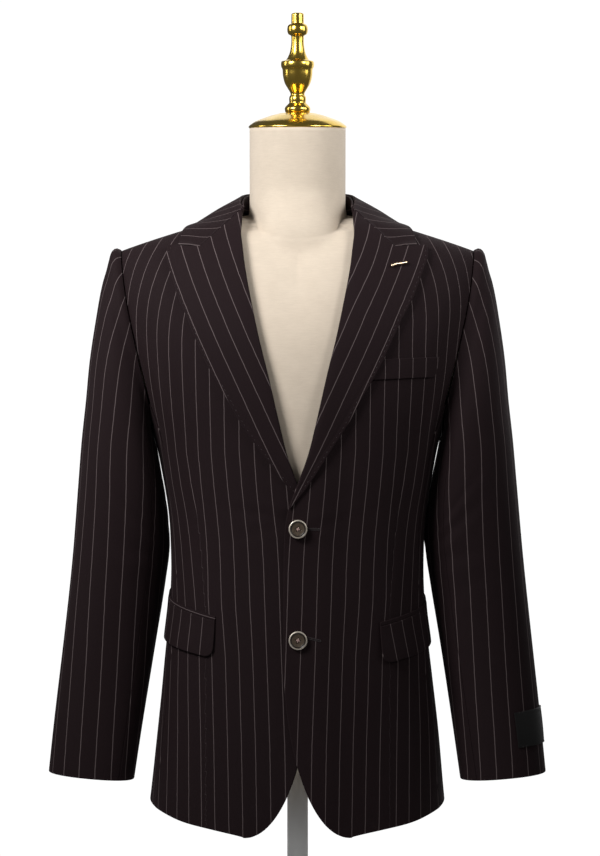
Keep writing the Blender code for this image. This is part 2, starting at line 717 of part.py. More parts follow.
BUTTON_X = 0.0005
BUTTONS = (("button_upper", 0.479, 0.0011), ("button_lower", 0.349, 0.0004))  # height, gap behind its back
BUTTON = [
    (0, 0.0034),  # radius and height over the button's back, down its outer side
    (0.0066, 0.0034),
    (0.0074, 0.0045),
    (0.0098, 0.0045),
    (0.0110, 0.0034),
    (0.0110, 0.0020),
    (0.0094, 0.0),
    (0, 0.0),
]
BAR = ((0.1128, 0.7848), (0.1100, 0.7868), (0.1118, 0.7884), (0.1294, 0.7912))  # the bar's line on the lapel
BAR_RADIUS = 0.0013
LABEL_TURNS, LABEL_SHARES = (-8, 69), (0.877, 0.950)  # the label's place on the left sleeve


def lapel_front(x, z):
    """How far forward the left lapel's face is at (x, z)."""
    grid = lapel(np.linspace(0, 1, 120), np.linspace(0, 1, 160)[:, None])
    nearest = np.argmin((grid[..., 0] - x) ** 2 + (grid[..., 2] - z) ** 2)
    return grid.reshape(-1, 3)[nearest, 1]


def tube(name, line, radius, look, around=8):
    """A round bar along a line of points, with flat ends."""
    line = np.asarray(line, float)
    along = np.gradient(line, axis=0)
    along /= np.linalg.norm(along, axis=1, keepdims=True)
    first = np.cross(along, (0, 1, 0))
    first /= np.linalg.norm(first, axis=1, keepdims=True)
    second = np.cross(along, first)
    turn = np.linspace(0, 2 * np.pi, around, endpoint=False)[:, None, None]
    rings = (line + radius * (np.cos(turn) * first + np.sin(turn) * second)).transpose(1, 0, 2)
    index = np.arange(len(line) * around).reshape(len(line), around)
    a, b = index[:-1], index[1:]
    sides = np.stack([a, np.roll(a, -1, axis=1), np.roll(b, -1, axis=1), b], axis=-1).reshape(-1, 4).tolist()
    return add(name, rings.reshape(-1, 3), sides + [index[0, ::-1].tolist(), index[-1].tolist()], look)


for name, z, gap in BUTTONS:
    button = turned(name, BUTTON, (HORN, 0.4), steps=24)
    button.rotation_euler = (math.radians(90), 0, 0)
    button.location = (BUTTON_X, -float(depth(BUTTON_X, z) + overlap_lift(BUTTON_X, z)) - gap, z)

clear = BAR_RADIUS + 0.0005
tube("lapel_bar", [(x, lapel_front(x, z) - clear, z) for x, z in BAR], BAR_RADIUS, (BRASS, 0.3, 1.0))

turn = np.linspace(*LABEL_TURNS, 7)
share = np.linspace(*LABEL_SHARES, 3)[:, None]
cloth(
    "sleeve_label",
    moved_out(sleeve, turn, share, 0.0018, dv=0.002),
    inner=moved_out(sleeve, turn, share, 0.0008, dv=0.002),
    look=(SATIN, 0.35),
)


# ---- Dress form: a linen torso and neck in one, its gold cap and finial, and the post and base it stands on ----

FORM_TOP = np.array(
    [  # distance from the middle, height of the torso's upper line, just under the jacket's shoulders
        (0.0000, 0.8500),
        (0.0400, 0.8535),
        (0.0600, 0.8540),
        (0.0705, 0.8525),
        (0.0850, 0.8482),
        (0.1000, 0.8442),
        (0.1250, 0.8367),
        (0.1500, 0.8290),
        (0.1736, 0.8215),
        (0.1980, 0.8135),
        (0.2400, 0.7980),
    ]
)
FORM_INSET = 0.009  # how far the torso is inside the jacket's surface
FORM_BOTTOM = 0.215
ARM_END = 0.198  # distance of the flat arm ends from the middle
NECK = 0.0574  # radius of the neck
NECK_FOOT, NECK_HEIGHT = 0.860, 0.960
NECK_LEAN = 5.2  # degrees that the neck's top, the cap and the finial lean forward
FORM_COLUMNS = 28


def neck_middle(z):
    return 0.008 - (np.maximum(z, 0.8) - 0.85) * math.tan(math.radians(NECK_LEAN))


def soft_most(a, b, reach):
    """The greater of two numbers, blended where they are within about this much of each other."""
    return (a + b + np.sqrt((a - b) ** 2 + reach**2)) / 2


def form_radius(turn, z):
    """Distance of the form's surface from the middle at a direction and a height, found by halving."""
    c, s = np.cos(turn), np.sin(turn)

    def within(r):
        x, y = r * c, r * s
        wide = half_width(z) - FORM_INSET
        deep = np.where(s < 0, smooth(z, BODY[:, 0], BODY[:, 2]), smooth(z, BODY[:, 0], BODY[:, 3])) - FORM_INSET
        across = np.clip(1 - np.abs(x / wide) ** ROUND, 0, 1) ** (1 / ROUND)
        top = smooth(np.abs(x), FORM_TOP[:, 0], FORM_TOP[:, 1])
        rise = np.clip((z - SHOULDER_FROM) / (top - SHOULDER_FROM), 0, 1)
        return np.abs(y) < deep * across * (1 - rise**SHOULDER_ROUND) ** (1 / SHOULDER_ROUND)

    low, high = np.zeros_like(c), np.full(c.shape, 0.3)
    for _ in range(40):
        middle = (low + high) / 2
        held = within(middle)
        low, high = np.where(held, middle, low), np.where(held, high, middle)
    torso = -soft_most(-low, -ARM_END / np.maximum(np.abs(c), 1e-6), 0.006)
    y = neck_middle(z)
    neck = s * y + np.sqrt(NECK**2 - (c * y) ** 2)
    return np.maximum(soft_most(torso, neck, 0.008), 0)


def form_rings():
    rows = [FORM_BOTTOM, FORM_BOTTOM + 0.0025, FORM_BOTTOM + 0.009]
    rows += list(np.linspace(0.24, 0.68, 11)) + [0.715, 0.745, 0.77, 0.79, 0.805]
    rows += [0.813, 0.819, 0.825, 0.832, 0.839, 0.845, 0.850, 0.855, 0.862, 0.875, 0.905, NECK_HEIGHT]
    z = np.array(rows)[:, None]
    turn = np.linspace(0, 2 * np.pi, FORM_COLUMNS, endpoint=False) + 0 * z
    radius = form_radius(turn, z + 0 * turn)
    radius[:2] -= np.array([[0.009], [0.003]])
    x, y = radius * np.cos(turn), radius * np.sin(turn)
    lean = math.tan(math.radians(NECK_LEAN)) * ease((z - NECK_FOOT) / (NECK_HEIGHT - NECK_FOOT))
    return np.stack([x, y, z + (y - neck_middle(z)) * lean], axis=-1)


rings = form_rings()
index = np.arange(rings.shape[0] * FORM_COLUMNS).reshape(-1, FORM_COLUMNS)
a, b = index[:-1], index[1:]
sides = np.stack([a, np.roll(a, -1, axis=1), np.roll(b, -1, axis=1), b], axis=-1).reshape(-1, 4).tolist()
add("form", rings.reshape(-1, 3), sides + [index[0, ::-1].tolist(), index[-1].tolist()], (LINEN, 0.9))

CAP = [
    (0, 0.0165),  # radius and height over the neck, down the outer side
    (0.0200, 0.0158),
    (0.0380, 0.0132),
    (0.0500, 0.0096),
    (0.0560, 0.0068),
    (0.0582, 0.0045),
    (0.0582, 0.0015),
    (0.0570, 0.0004),
    (0, 0.0004),
]
FINIAL = [
    (0, 0.1390),
    (0.0050, 0.1388),
    (0.0075, 0.1365),
    (0.0075, 0.1262),
    (0.0104, 0.1248),
    (0.0125, 0.1212),
    (0.0125, 0.1160),
    (0.0104, 0.1125),
    (0.0075, 0.1110),
    (0.0075, 0.1020),
    (0.0090, 0.0920),
    (0.0120, 0.0850),
    (0.0145, 0.0820),
    (0.0192, 0.0812),
    (0.0200, 0.0790),
    (0.0200, 0.0750),
    (0.0192, 0.0728),
    (0.0180, 0.0710),
    (0.0172, 0.0640),
    (0.0145, 0.0550),
    (0.0110, 0.0480),
    (0.0085, 0.0430),
    (0.0085, 0.0400),
    (0.0100, 0.0380),
    (0.0100, 0.0310),
    (0.0130, 0.0290),
    (0.0156, 0.0255),
    (0.0156, 0.0215),
    (0.0140, 0.0175),
    (0, 0.0172),
]
POST_RADIUS = 0.0125
BASE_RADIUS, BASE_HEIGHT = 0.150, 0.018

for name, profile, steps in (("neck_cap", CAP, 36), ("finial", FINIAL, 20)):
    gold = turned(name, profile, (BRASS, 0.25, 1.0), steps)
    gold.location = (0, neck_middle(NECK_HEIGHT), NECK_HEIGHT)
    gold.rotation_euler = (math.radians(NECK_LEAN), 0, 0)

foot, head = BASE_HEIGHT + 0.0003, FORM_BOTTOM - 0.0003
turned("post", [(0, head), (POST_RADIUS, head), (POST_RADIUS, foot), (0, foot)], (WHITE, 0.4), 24)
turned(
    "base",
    [
        (0, BASE_HEIGHT),
        (BASE_RADIUS - 0.006, BASE_HEIGHT),
        (BASE_RADIUS, BASE_HEIGHT - 0.004),
        (BASE_RADIUS, 0.002),
        (BASE_RADIUS - 0.002, 0),
        (0, 0),
    ],
    (WHITE, 0.4),
    48,
)
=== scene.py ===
import math

import bpy
import numpy as np
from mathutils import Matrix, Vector


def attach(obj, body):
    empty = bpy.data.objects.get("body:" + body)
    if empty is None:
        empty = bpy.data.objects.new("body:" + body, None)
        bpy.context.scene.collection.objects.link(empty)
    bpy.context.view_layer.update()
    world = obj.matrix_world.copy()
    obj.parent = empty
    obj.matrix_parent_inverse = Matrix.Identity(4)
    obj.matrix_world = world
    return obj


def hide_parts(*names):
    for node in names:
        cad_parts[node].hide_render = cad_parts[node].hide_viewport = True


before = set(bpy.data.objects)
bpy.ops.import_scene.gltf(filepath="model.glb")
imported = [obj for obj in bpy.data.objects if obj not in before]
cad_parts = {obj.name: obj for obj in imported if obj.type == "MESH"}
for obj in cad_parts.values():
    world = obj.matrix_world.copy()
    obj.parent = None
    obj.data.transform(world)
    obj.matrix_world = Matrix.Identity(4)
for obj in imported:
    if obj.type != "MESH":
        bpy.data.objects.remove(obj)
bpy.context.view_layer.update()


# ---- Dress form ----
# A torso and neck moulded in papier-mache and covered tight in cream linen, with no arms: it ends in two flat
# rounded discs at the shoulders and in a flat sole inside the jacket's skirt.

TORSO_INSET = 0.009  # how far the torso is inside the jacket's surface
TORSO_SOLE = 0.215
ARM_DISC = 0.198  # distance of the flat arm ends from the middle
NECK_RADIUS, NECK_FLARE = 0.0574, 0.007  # and how much wider the neck spreads where it meets the shoulders
NECK_FOOT, NECK_TOP = 0.860, 0.960
NECK_LEAN = math.radians(5.2)  # the top of the neck tips forward by this much

# What the jacket is cut to, from the hem up; the torso fills it.
FIGURE = np.array(
    [  # height, half width, depth to the front, depth to the back
        (0.100, 0.1835, 0.109, 0.120),
        (0.150, 0.1780, 0.109, 0.118),
        (0.220, 0.1710, 0.107, 0.113),
        (0.300, 0.1620, 0.105, 0.105),
        (0.380, 0.1545, 0.104, 0.096),
        (0.440, 0.1520, 0.104, 0.091),
        (0.490, 0.1535, 0.106, 0.091),
        (0.540, 0.1620, 0.110, 0.096),
        (0.590, 0.1735, 0.115, 0.104),
        (0.620, 0.1845, 0.118, 0.108),
        (0.660, 0.1990, 0.120, 0.113),
        (0.700, 0.2093, 0.119, 0.115),
        (0.750, 0.2207, 0.112, 0.113),
        (0.811, 0.2297, 0.100, 0.104),
        (0.870, 0.2350, 0.090, 0.092),
        (0.930, 0.2360, 0.082, 0.084),
    ]
)
TORSO_TOP = np.array(
    [  # distance from the middle, height of the torso's upper line
        (0.0000, 0.8500),
        (0.0400, 0.8535),
        (0.0600, 0.8540),
        (0.0705, 0.8525),
        (0.0850, 0.8482),
        (0.1000, 0.8442),
        (0.1250, 0.8367),
        (0.1500, 0.8290),
        (0.1736, 0.8215),
        (0.1980, 0.8135),
        (0.2400, 0.7980),
    ]
)
ROUND = 2.3  # roundness of a section across; 2 is an ellipse
SHOULDER_ROUND = 2.6  # the same over the shoulder
SHOULDER_FROM = 0.68  # height where the shoulders begin to close


def smooth(x, knots, values):
    """The cubic curve through (knots, values): each knot's slope is the mean slope of its neighbours."""
    slope = np.gradient(values, knots)
    i = np.clip(np.searchsorted(knots, x) - 1, 0, len(knots) - 2)
    span = knots[i + 1] - knots[i]
    t = np.clip((x - knots[i]) / span, 0, 1)
    rise = t * t * (3 - 2 * t)
    ends = values[i] * (1 - rise) + values[i + 1] * rise
    return ends + span * t * (1 - t) * (slope[i] * (1 - t) - slope[i + 1] * t)


def ease(x):
    """A smooth step from 0 to 1: 3x^2 - 2x^3."""
    x = np.clip(x, 0, 1)
    return x * x * (3 - 2 * x)


def half_width(z):
    return smooth(z, FIGURE[:, 0], FIGURE[:, 1])


def depth(x, z, back=False, top=None, inset=0.0):
    """Distance of the figure's surface from the plane between front and back: the section's depth, times
    (1 - (x / half width)^n)^(1/n) across, times (1 - q^m)^(1/m) as q runs from 0 at the chest to 1 on the
    shoulder line."""
    top = SHOULDER if top is None else top
    deep = smooth(z, FIGURE[:, 0], FIGURE[:, 3 if back else 2]) - inset
    across = np.clip(1 - np.abs(x / (half_width(z) - inset)) ** ROUND, 0, 1) ** (1 / ROUND)
    line = smooth(np.abs(x), top[:, 0], top[:, 1])
    rise = np.clip((z - SHOULDER_FROM) / (line - SHOULDER_FROM), 0, 1)
    return deep * across * (1 - rise**SHOULDER_ROUND) ** (1 / SHOULDER_ROUND)


def build(name, points, quads, uv=None, smooth_shade=True):
    """A mesh object from points and four-cornered faces, with a UV for each point in metres of cloth."""
    mesh = bpy.data.meshes.new(name)
    quads = np.asarray(quads)
    mesh.vertices.add(len(points))
    mesh.vertices.foreach_set("co", np.asarray(points, np.float32).ravel())
    mesh.loops.add(quads.size)
    mesh.loops.foreach_set("vertex_index", quads.astype(np.int32).ravel())
    mesh.polygons.add(len(quads))
    mesh.polygons.foreach_set("loop_start", np.arange(0, quads.size, 4, dtype=np.int32))
    mesh.polygons.foreach_set("use_smooth", np.full(len(quads), smooth_shade))
    if uv is not None:
        layer = mesh.uv_layers.new(name="cloth")
        layer.data.foreach_set("uv", np.asarray(uv, np.float32)[quads.ravel()].ravel())
    mesh.update(calc_edges=True)
    mesh.validate()
    obj = bpy.data.objects.new(name, mesh)
    bpy.context.scene.collection.objects.link(obj)
    return obj


def ring_quads(rows, columns):
    """Faces between closed rings of points, the last point of each ring joining its first."""
    index = np.arange(rows * columns).reshape(rows, columns)
    a, b = index[:-1], index[1:]
    return np.stack([a, np.roll(a, -1, axis=1), np.roll(b, -1, axis=1), b], axis=-1).reshape(-1, 4)


def soft_most(a, b, reach):
    """The greater of two lengths, blended where they come within about this much of each other."""
    return (a + b + np.sqrt((a - b) ** 2 + reach**2)) / 2


def neck_middle(z):
    return 0.008 - (np.maximum(z, 0.8) - 0.85) * math.tan(NECK_LEAN)


def greatest(inside, s, low, high, halvings=40):
    """For each line s the greatest value between low and high where inside(value, s) holds, by halving."""
    low, high = np.full(s.shape, low), np.full(s.shape, high)
    for _ in range(halvings):
        middle = (low + high) / 2
        held = inside(middle, s)
        low, high = np.where(held, middle, low), np.where(held, high, middle)
    return low


def torso_radius(turn, z):
    """Distance from the middle to the torso's surface at a direction and a height, then cut flat at the arm
    discs and blended into the neck's circle."""
    c, s = np.cos(turn), np.sin(turn)
    pit = 0.030 * np.exp(-((TORSO_TOP[:, 0] / 0.045) ** 2))
    neck_pit = TORSO_TOP - np.stack([0 * pit, pit], axis=-1)

    def inside(reach, s):
        front = depth(reach * c, z, top=neck_pit, inset=TORSO_INSET)
        back = depth(reach * c, z, True, TORSO_TOP, TORSO_INSET)
        return np.abs(reach * s) < np.where(s < 0, front, back)

    reach = greatest(inside, s, 0.0, 0.3, 32)
    torso = -soft_most(-reach, -ARM_DISC / np.maximum(np.abs(c), 1e-6), 0.006)
    y = neck_middle(z)
    front = ease((-s - 0.35) / 0.6)
    flare = (NECK_FLARE + 0.012 * front) * (1 - ease((z - 0.815) / (0.055 + 0.020 * front)))
    neck = s * y + np.sqrt((NECK_RADIUS + flare) ** 2 - (c * y) ** 2)
    return np.maximum(soft_most(torso, neck, 0.012), 0)


def form_points(columns=160):
    """Rings of the form from the middle of its sole, up over the torso and shoulders, to the middle of its top."""
    z = np.concatenate(
        [
            TORSO_SOLE + np.array([0, 0, 0.0003, 0.0012, 0.0028, 0.0050, 0.0080]),
            np.linspace(0.235, 0.68, 40),
            np.linspace(0.69, 0.80, 14),
            np.linspace(0.8035, 0.868, 38),
            np.linspace(0.875, NECK_TOP, 18),
            [NECK_TOP],
        ]
    )[:, None]
    turn = np.linspace(0, 2 * np.pi, columns, endpoint=False) + 0 * z
    radius = torso_radius(turn, z + 0 * turn)
    radius[0], radius[-1] = 0.0005, 0.0005
    radius[1:7] -= np.array([0.0080, 0.0055, 0.0032, 0.0015, 0.0005, 0.0001])[:, None]
    x, y = radius * np.cos(turn), radius * np.sin(turn)
    y[-1] += neck_middle(NECK_TOP)
    lean = math.tan(NECK_LEAN) * ease((z - NECK_FOOT) / (NECK_TOP - NECK_FOOT))
    return np.stack([x, y, z + (y - neck_middle(z)) * lean], axis=-1)


def nodes_for(name):
    """A new material and short ways to add its nodes, sums, blends of two colours, links, noises and bumps."""
    material = bpy.data.materials.new(name)
    material.use_nodes = True
    tree = material.node_tree
    shader = tree.nodes["Principled BSDF"]
    wire = tree.links.new

    def node(kind, **settings):
        made = tree.nodes.new(kind)
        for key, value in settings.items():
            setattr(made, key, value)
        return made

    def mix(share, first, second):
        made = node("ShaderNodeMixRGB")
        for socket, value in zip(made.inputs, (share, first, second)):
            if isinstance(value, tuple):
                socket.default_value = (*value, 1)
            else:
                wire(value, socket)
        return made.outputs[0]

    def math_node(operation, a, b=None, c=None, clamp=False):
        made = node("ShaderNodeMath", operation=operation, use_clamp=clamp)
        for socket, value in zip(made.inputs, (a, b, c)):
            if value is None:
                continue
            if isinstance(value, (int, float)):
                socket.default_value = value
            else:
                wire(value, socket)
        return made.outputs[0]

    def noise(where, scale, detail=2):
        made = node("ShaderNodeTexNoise")
        made.inputs["Scale"].default_value = scale
        made.inputs["Detail"].default_value = detail
        wire(where, made.inputs["Vector"])
        return made.outputs["Fac"]

    def bump(height, strength, distance):
        made = node("ShaderNodeBump")
        made.inputs["Strength"].default_value = strength
        made.inputs["Distance"].default_value = distance
        wire(height, made.inputs["Height"])
        wire(made.outputs[0], shader.inputs["Normal"])

    return material, shader, node, math_node, mix, wire, noise, bump


def linen():
    """Plain weave in cream with darker slubs: level threads 0.9 mm apart, crossed by upright ones that number 420
    round the form."""
    material, shader, node, calc, mix, wire, noise, bump = nodes_for("form_linen")
    place = node("ShaderNodeTexCoord").outputs["Object"]
    uneven = noise(place, 60, 4)
    split = node("ShaderNodeSeparateXYZ")
    wire(place, split.inputs[0])
    around = calc("ARCTAN2", split.outputs[0], split.outputs[1])
    weft = calc("SINE", calc("MULTIPLY", split.outputs[2], 2 * math.pi / 0.0009))
    warp = calc("SINE", calc("MULTIPLY", around, 420.0))
    weave = calc("MULTIPLY", weft, warp)
    stretch = node("ShaderNodeMapping")
    stretch.inputs["Scale"].default_value = (0.25, 0.25, 1.8)
    wire(place, stretch.inputs["Vector"])
    slubs = noise(stretch.outputs[0], 420, 3)
    patchy = calc("ADD", calc("MULTIPLY", uneven, 0.5), calc("MULTIPLY", slubs, 0.55))
    mixed = calc("MULTIPLY_ADD", weave, 0.22, patchy, clamp=True)
    wire(mix(mixed, (0.87, 0.75, 0.61), (0.68, 0.57, 0.45)), shader.inputs["Base Color"])
    bump(weave, 0.25, 0.0003)
    shader.inputs["Roughness"].default_value = 0.92
    shader.inputs["Sheen Weight"].default_value = 0.2
    return material


def placed(piece, material, node_name=None):
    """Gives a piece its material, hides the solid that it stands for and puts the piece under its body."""
    piece.data.materials.append(material)
    if node_name:
        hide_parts(node_name)
    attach(piece, "root")


rings = form_points()
torso = build("form_torso", rings.reshape(-1, 3), ring_quads(*rings.shape[:2]))
placed(torso, linen(), "form")


# ---- Neck cap and finial ----
# The neck is closed by a spun brass cap with a rolled edge. A turned finial stands on it: a ball foot, a vase
# and two collars under a round knob. Both are gilt and polished, and are screwed together through the cap.

CAP = np.array(
    [  # radius, height over the neck, from the crown down the outer side
        (0.0000, 0.0154),
        (0.0165, 0.0154),
        (0.0185, 0.0172),
        (0.0215, 0.0175),
        (0.0230, 0.0168),
        (0.0308, 0.0150),
        (0.0384, 0.0124),
        (0.0460, 0.0098),
        (0.0520, 0.0072),
        (0.0565, 0.0040),
        (0.0588, 0.0020),
        (0.0593, 0.0008),
        (0.0590, -0.0004),
        (0.0580, -0.0008),
        (0.0578, 0.0003),
        (0.0000, 0.0004),
    ]
)
FINIAL = np.array(
    [  # radius, height over the neck
        (0.0000, 0.1390),
        (0.0050, 0.1388),
        (0.0072, 0.1378),
        (0.0075, 0.1360),
        (0.0075, 0.1266),
        (0.0080, 0.1258),
        (0.0104, 0.1248),
        (0.0120, 0.1228),
        (0.0126, 0.1187),
        (0.0120, 0.1145),
        (0.0104, 0.1125),
        (0.0080, 0.1116),
        (0.0075, 0.1105),
        (0.0075, 0.1020),
        (0.0090, 0.0920),
        (0.0120, 0.0850),
        (0.0145, 0.0820),
        (0.0190, 0.0813),
        (0.0200, 0.0795),
        (0.0200, 0.0748),
        (0.0190, 0.0728),
        (0.0181, 0.0712),
        (0.0179, 0.0640),
        (0.0160, 0.0550),
        (0.0117, 0.0480),
        (0.0085, 0.0430),
        (0.0085, 0.0402),
        (0.0100, 0.0385),
        (0.0104, 0.0345),
        (0.0098, 0.0312),
        (0.0120, 0.0292),
        (0.0150, 0.0262),
        (0.0157, 0.0235),
        (0.0150, 0.0202),
        (0.0135, 0.0175),
        (0.0000, 0.0172),
    ]
)


def chamfered(profile, cut=0.35):
    """The profile with each inner corner cut twice, so that it turns in a short curve: a new point at the
    given share of each side, next to the corner."""
    for _ in range(2):
        sides = profile[1:] - profile[:-1]
        pairs = np.stack([profile[:-1] + sides * cut * 0.7, profile[1:] - sides * cut * 0.7], axis=1)
        profile = np.concatenate([profile[:1], pairs.reshape(-1, 2)[1:-1], profile[-1:]])
    return profile


PINHOLE = 2e-5  # radius at which a turned shape's ends stop, not quite closed


def turned(name, profile, columns=96):
    """A surface of revolution: the profile's points carried round the upright axis, its ends left as pinholes."""
    radius, height = np.maximum(profile, [PINHOLE, -1]).T
    turn = np.linspace(0, 2 * np.pi, columns, endpoint=False)
    x, y = radius[:, None] * np.cos(turn), radius[:, None] * np.sin(turn)
    points = np.stack([x, y, height[:, None] + 0 * x], axis=-1)[::-1]
    return build(name, points.reshape(-1, 3), ring_quads(len(profile), columns))


def tipped(obj, angle, place):
    """The object's points turned about the X axis, then moved to their place."""
    count = len(obj.data.vertices)
    points = np.empty(count * 3, np.float32)
    obj.data.vertices.foreach_get("co", points)
    x, y, z = points.reshape(-1, 3).T
    c, s = math.cos(angle), math.sin(angle)
    moved = np.stack([x, y * c - z * s, y * s + z * c], axis=-1) + np.array(place)
    obj.data.vertices.foreach_set("co", moved.astype(np.float32).ravel())
    obj.data.update()
    return obj


def polished_gilt(name, bright, tarnished):
    """Bright metal with faint turning marks and a little uneven tarnish."""
    material, shader, node, calc, mix, wire, noise, bump = nodes_for(name)
    place = node("ShaderNodeTexCoord").outputs["Object"]
    cloudy = noise(place, 45, 3)
    wire(mix(cloudy, bright, tarnished), shader.inputs["Base Color"])
    split = node("ShaderNodeSeparateXYZ")
    wire(place, split.inputs[0])
    marks = calc("SINE", calc("MULTIPLY", split.outputs[2], 2 * math.pi / 0.0007))
    rough = calc("MULTIPLY_ADD", cloudy, 0.18, 0.12)
    wire(rough, shader.inputs["Roughness"])
    bump(marks, 0.05, 0.0002)
    shader.inputs["Metallic"].default_value = 1.0
    return material


gilt = polished_gilt("polished_gilt", (0.90, 0.64, 0.13), (0.66, 0.42, 0.06))
on_neck = (0, neck_middle(NECK_TOP), NECK_TOP)
FINIAL_SEATING = 0.0014  # how deep the finial's foot sits in the cap's seat ring
for name, node_name, profile in (
    ("cap", "neck_cap", CAP),
    ("finial_turned", "finial", FINIAL - [0, FINIAL_SEATING]),
):
    placed(tipped(turned(name, chamfered(profile)), NECK_LEAN, on_neck), gilt, node_name)


# ---- Post and base ----
# The form stands on a steel tube in the middle of a round weighted base, both in white stove enamel. The tube
# is screwed into the base and runs up inside the sole of the form.

POST_RADIUS, BASE_RADIUS, BASE_HEIGHT = 0.0125, 0.150, 0.018


def enamel():
    """White paint with a fine orange-peel skin and light scuffs."""
    material, shader, node, calc, mix, wire, noise, bump = nodes_for("white_enamel")
    place = node("ShaderNodeTexCoord").outputs["Object"]
    peel = noise(place, 700)
    scuffs = noise(place, 30, 6)
    wire(mix(scuffs, (0.84, 0.84, 0.84), (0.78, 0.78, 0.77)), shader.inputs["Base Color"])
    wire(calc("MULTIPLY_ADD", scuffs, 0.2, 0.28), shader.inputs["Roughness"])
    bump(peel, 0.1, 0.0001)
    return material


white = enamel()
tube_foot, tube_head = BASE_HEIGHT + 0.0003, TORSO_SOLE - 0.0003
POST = np.array([(0, tube_head), (POST_RADIUS, tube_head), (POST_RADIUS, tube_foot), (0, tube_foot)])
BASE = np.array(
    [  # radius, height
        (0, BASE_HEIGHT),
        (BASE_RADIUS - 0.008, BASE_HEIGHT),
        (BASE_RADIUS - 0.002, BASE_HEIGHT - 0.0015),
        (BASE_RADIUS, BASE_HEIGHT - 0.006),
        (BASE_RADIUS, 0.002),
        (BASE_RADIUS - 0.001, 0.0),
        (0, 0.0),
    ]
)
for name, node_name, piece in (
    ("post_tube", "post", turned("post_tube", POST, 48)),
    ("base_disc", "base", turned("base_disc", chamfered(BASE, 0.2), 128)),
):
    placed(piece, white, node_name)


# ---- Fronts ----
# The jacket is cut from fine worsted, near black with an aubergine cast and a woven pinstripe. Each front runs
# from its edge round to the side body, with a dart from the chest to the pocket. The left front closes over the
# right one and is held by the two buttons; under them both edges are cut away in a round curve.

CLOTH = 0.002  # thickness of a panel with its canvas and its inner side
SEAM = 0.00006  # gap left at a stitched seam
EDGE_ROUND = 0.00095  # radius of a turned edge
STRIPE = 0.0172  # distance between pinstripes
SHOULDER = np.array(
    [  # distance from the middle, height of the shoulder line
        (0.0000, 0.9300),
        (0.0400, 0.8850),
        (0.0600, 0.8655),
        (0.0705, 0.8585),
        (0.1000, 0.8478),
        (0.1250, 0.8395),
        (0.1500, 0.8318),
        (0.1736, 0.8243),
        (0.2123, 0.8110),
        (0.2400, 0.8000),
    ]
)
HEM = np.array(
    [  # angle from the centre front, height of the hem
        (18, 0.1178),
        (36, 0.1262),
        (50, 0.1325),
        (64, 0.1410),
        (78, 0.1475),
        (90, 0.1510),
        (110, 0.1560),
        (180, 0.1760),
    ]
)
HEM_FROM = 0.062  # the hem starts this far from the middle, where the rounded front edge ends
EDGE_PAST = 0.0165  # how far each front edge passes the centre front
CUTAWAY_TOP = 0.33
BREAK = 0.5133  # height where the roll line meets the front edge
ROLL = np.array(
    [  # height, distance of the roll line from the middle, on its own side
        (0.5030, -0.0105),
        (0.5133, -0.0068),
        (0.5330, -0.0005),
        (0.5665, 0.0112),
        (0.6000, 0.0195),
        (0.6600, 0.0333),
        (0.7000, 0.0432),
        (0.7350, 0.0505),
        (0.7900, 0.0605),
        (0.8200, 0.0645),
        (0.8585, 0.0705),
    ]
)
SIDE_ANGLE = 70  # the seams of the side body, from the centre front and from the centre back
ARM_LOW, ARM_HIGH, ARM_REACH, ARM_ROUND = 0.590, 0.811, 24, 2.2  # the armhole's oval

# The dart: height, distance from the middle.
DART = np.array([(0.392, 0.1085), (0.430, 0.1118), (0.480, 0.1165), (0.520, 0.1215), (0.568, 0.1290)])
# How far the grain has swung towards the edge: height, near the edge, beyond 9 cm, taken up by the dart.
SWING = np.array(
    [
        (0.120, 0.0190, 0.0235, 0.0172),
        (0.220, 0.0175, 0.0215, 0.0172),
        (0.330, 0.0135, 0.0180, 0.0172),
        (0.395, 0.0115, 0.0127, 0.0150),
        (0.430, 0.0106, 0.0118, 0.0115),
        (0.467, 0.0085, 0.0100, 0.0085),
        (0.495, 0.0050, 0.0072, 0.0062),
        (0.530, 0.0018, 0.0036, 0.0022),
        (0.568, 0.0000, 0.0005, 0.0000),
        (0.640, 0.0000, 0.0000, 0.0000),
    ]
)


def across_at(angle, z):
    """x at an angle round the body: 0 at the centre front, 90 at the side, 180 at the centre back."""
    turn = np.sin(np.radians(angle))
    return half_width(z) * np.sign(turn) * np.abs(turn) ** (2 / ROUND)


def angle_at(x, z):
    share = np.clip(np.abs(x) / half_width(z), 0, 1) ** (ROUND / 2)
    return np.sign(x) * np.degrees(np.arcsin(share))


def body(angle, z):
    """The jacket's surface at an angle and a height."""
    x = across_at(angle, z)
    back = angle > 90
    y = np.where(back, depth(x, z, back=True), -depth(x, z))
    x = np.where(angle > 135, np.maximum(x, SEAM / 2), x)
    y = np.where(back, np.maximum(y, SEAM / 2), np.minimum(y, -SEAM / 2))
    return np.stack([x, y, z], axis=-1)


def moved_out(surface, u, v, out, du=0.05, dv=0.0005):
    """surface(u, v) moved out along its normal, the cross product of its steps in u and in v."""
    u, v = np.broadcast_arrays(np.asarray(u, float), np.asarray(v, float))
    across = surface(u + du, v) - surface(u - du, v)
    along = surface(u, v + dv) - surface(u, v - dv)
    normal = np.cross(across, along)
    normal /= np.maximum(np.linalg.norm(normal, axis=-1, keepdims=True), 1e-12)
    return surface(u, v) + normal * np.asarray(out, float)[..., None]


def armhole(turn):
    """The armhole seam: turn is 0 on the shoulder, 90 at the front, 180 under the arm and 270 at the back."""
    rise, swing = np.cos(np.radians(turn)), np.sin(np.radians(turn))
    above = SHOULDER_FROM + (ARM_HIGH - SHOULDER_FROM) * np.abs(rise) ** (2 / SHOULDER_ROUND)
    below = SHOULDER_FROM - (SHOULDER_FROM - ARM_LOW) * np.abs(rise) ** (2 / ARM_ROUND)
    reach = np.where(rise > 0, ARM_REACH, ARM_REACH * np.abs(swing) ** (2 / ARM_ROUND))
    return 90 - np.where(swing >= 0, 1, -1) * reach, np.where(rise > 0, above, below)


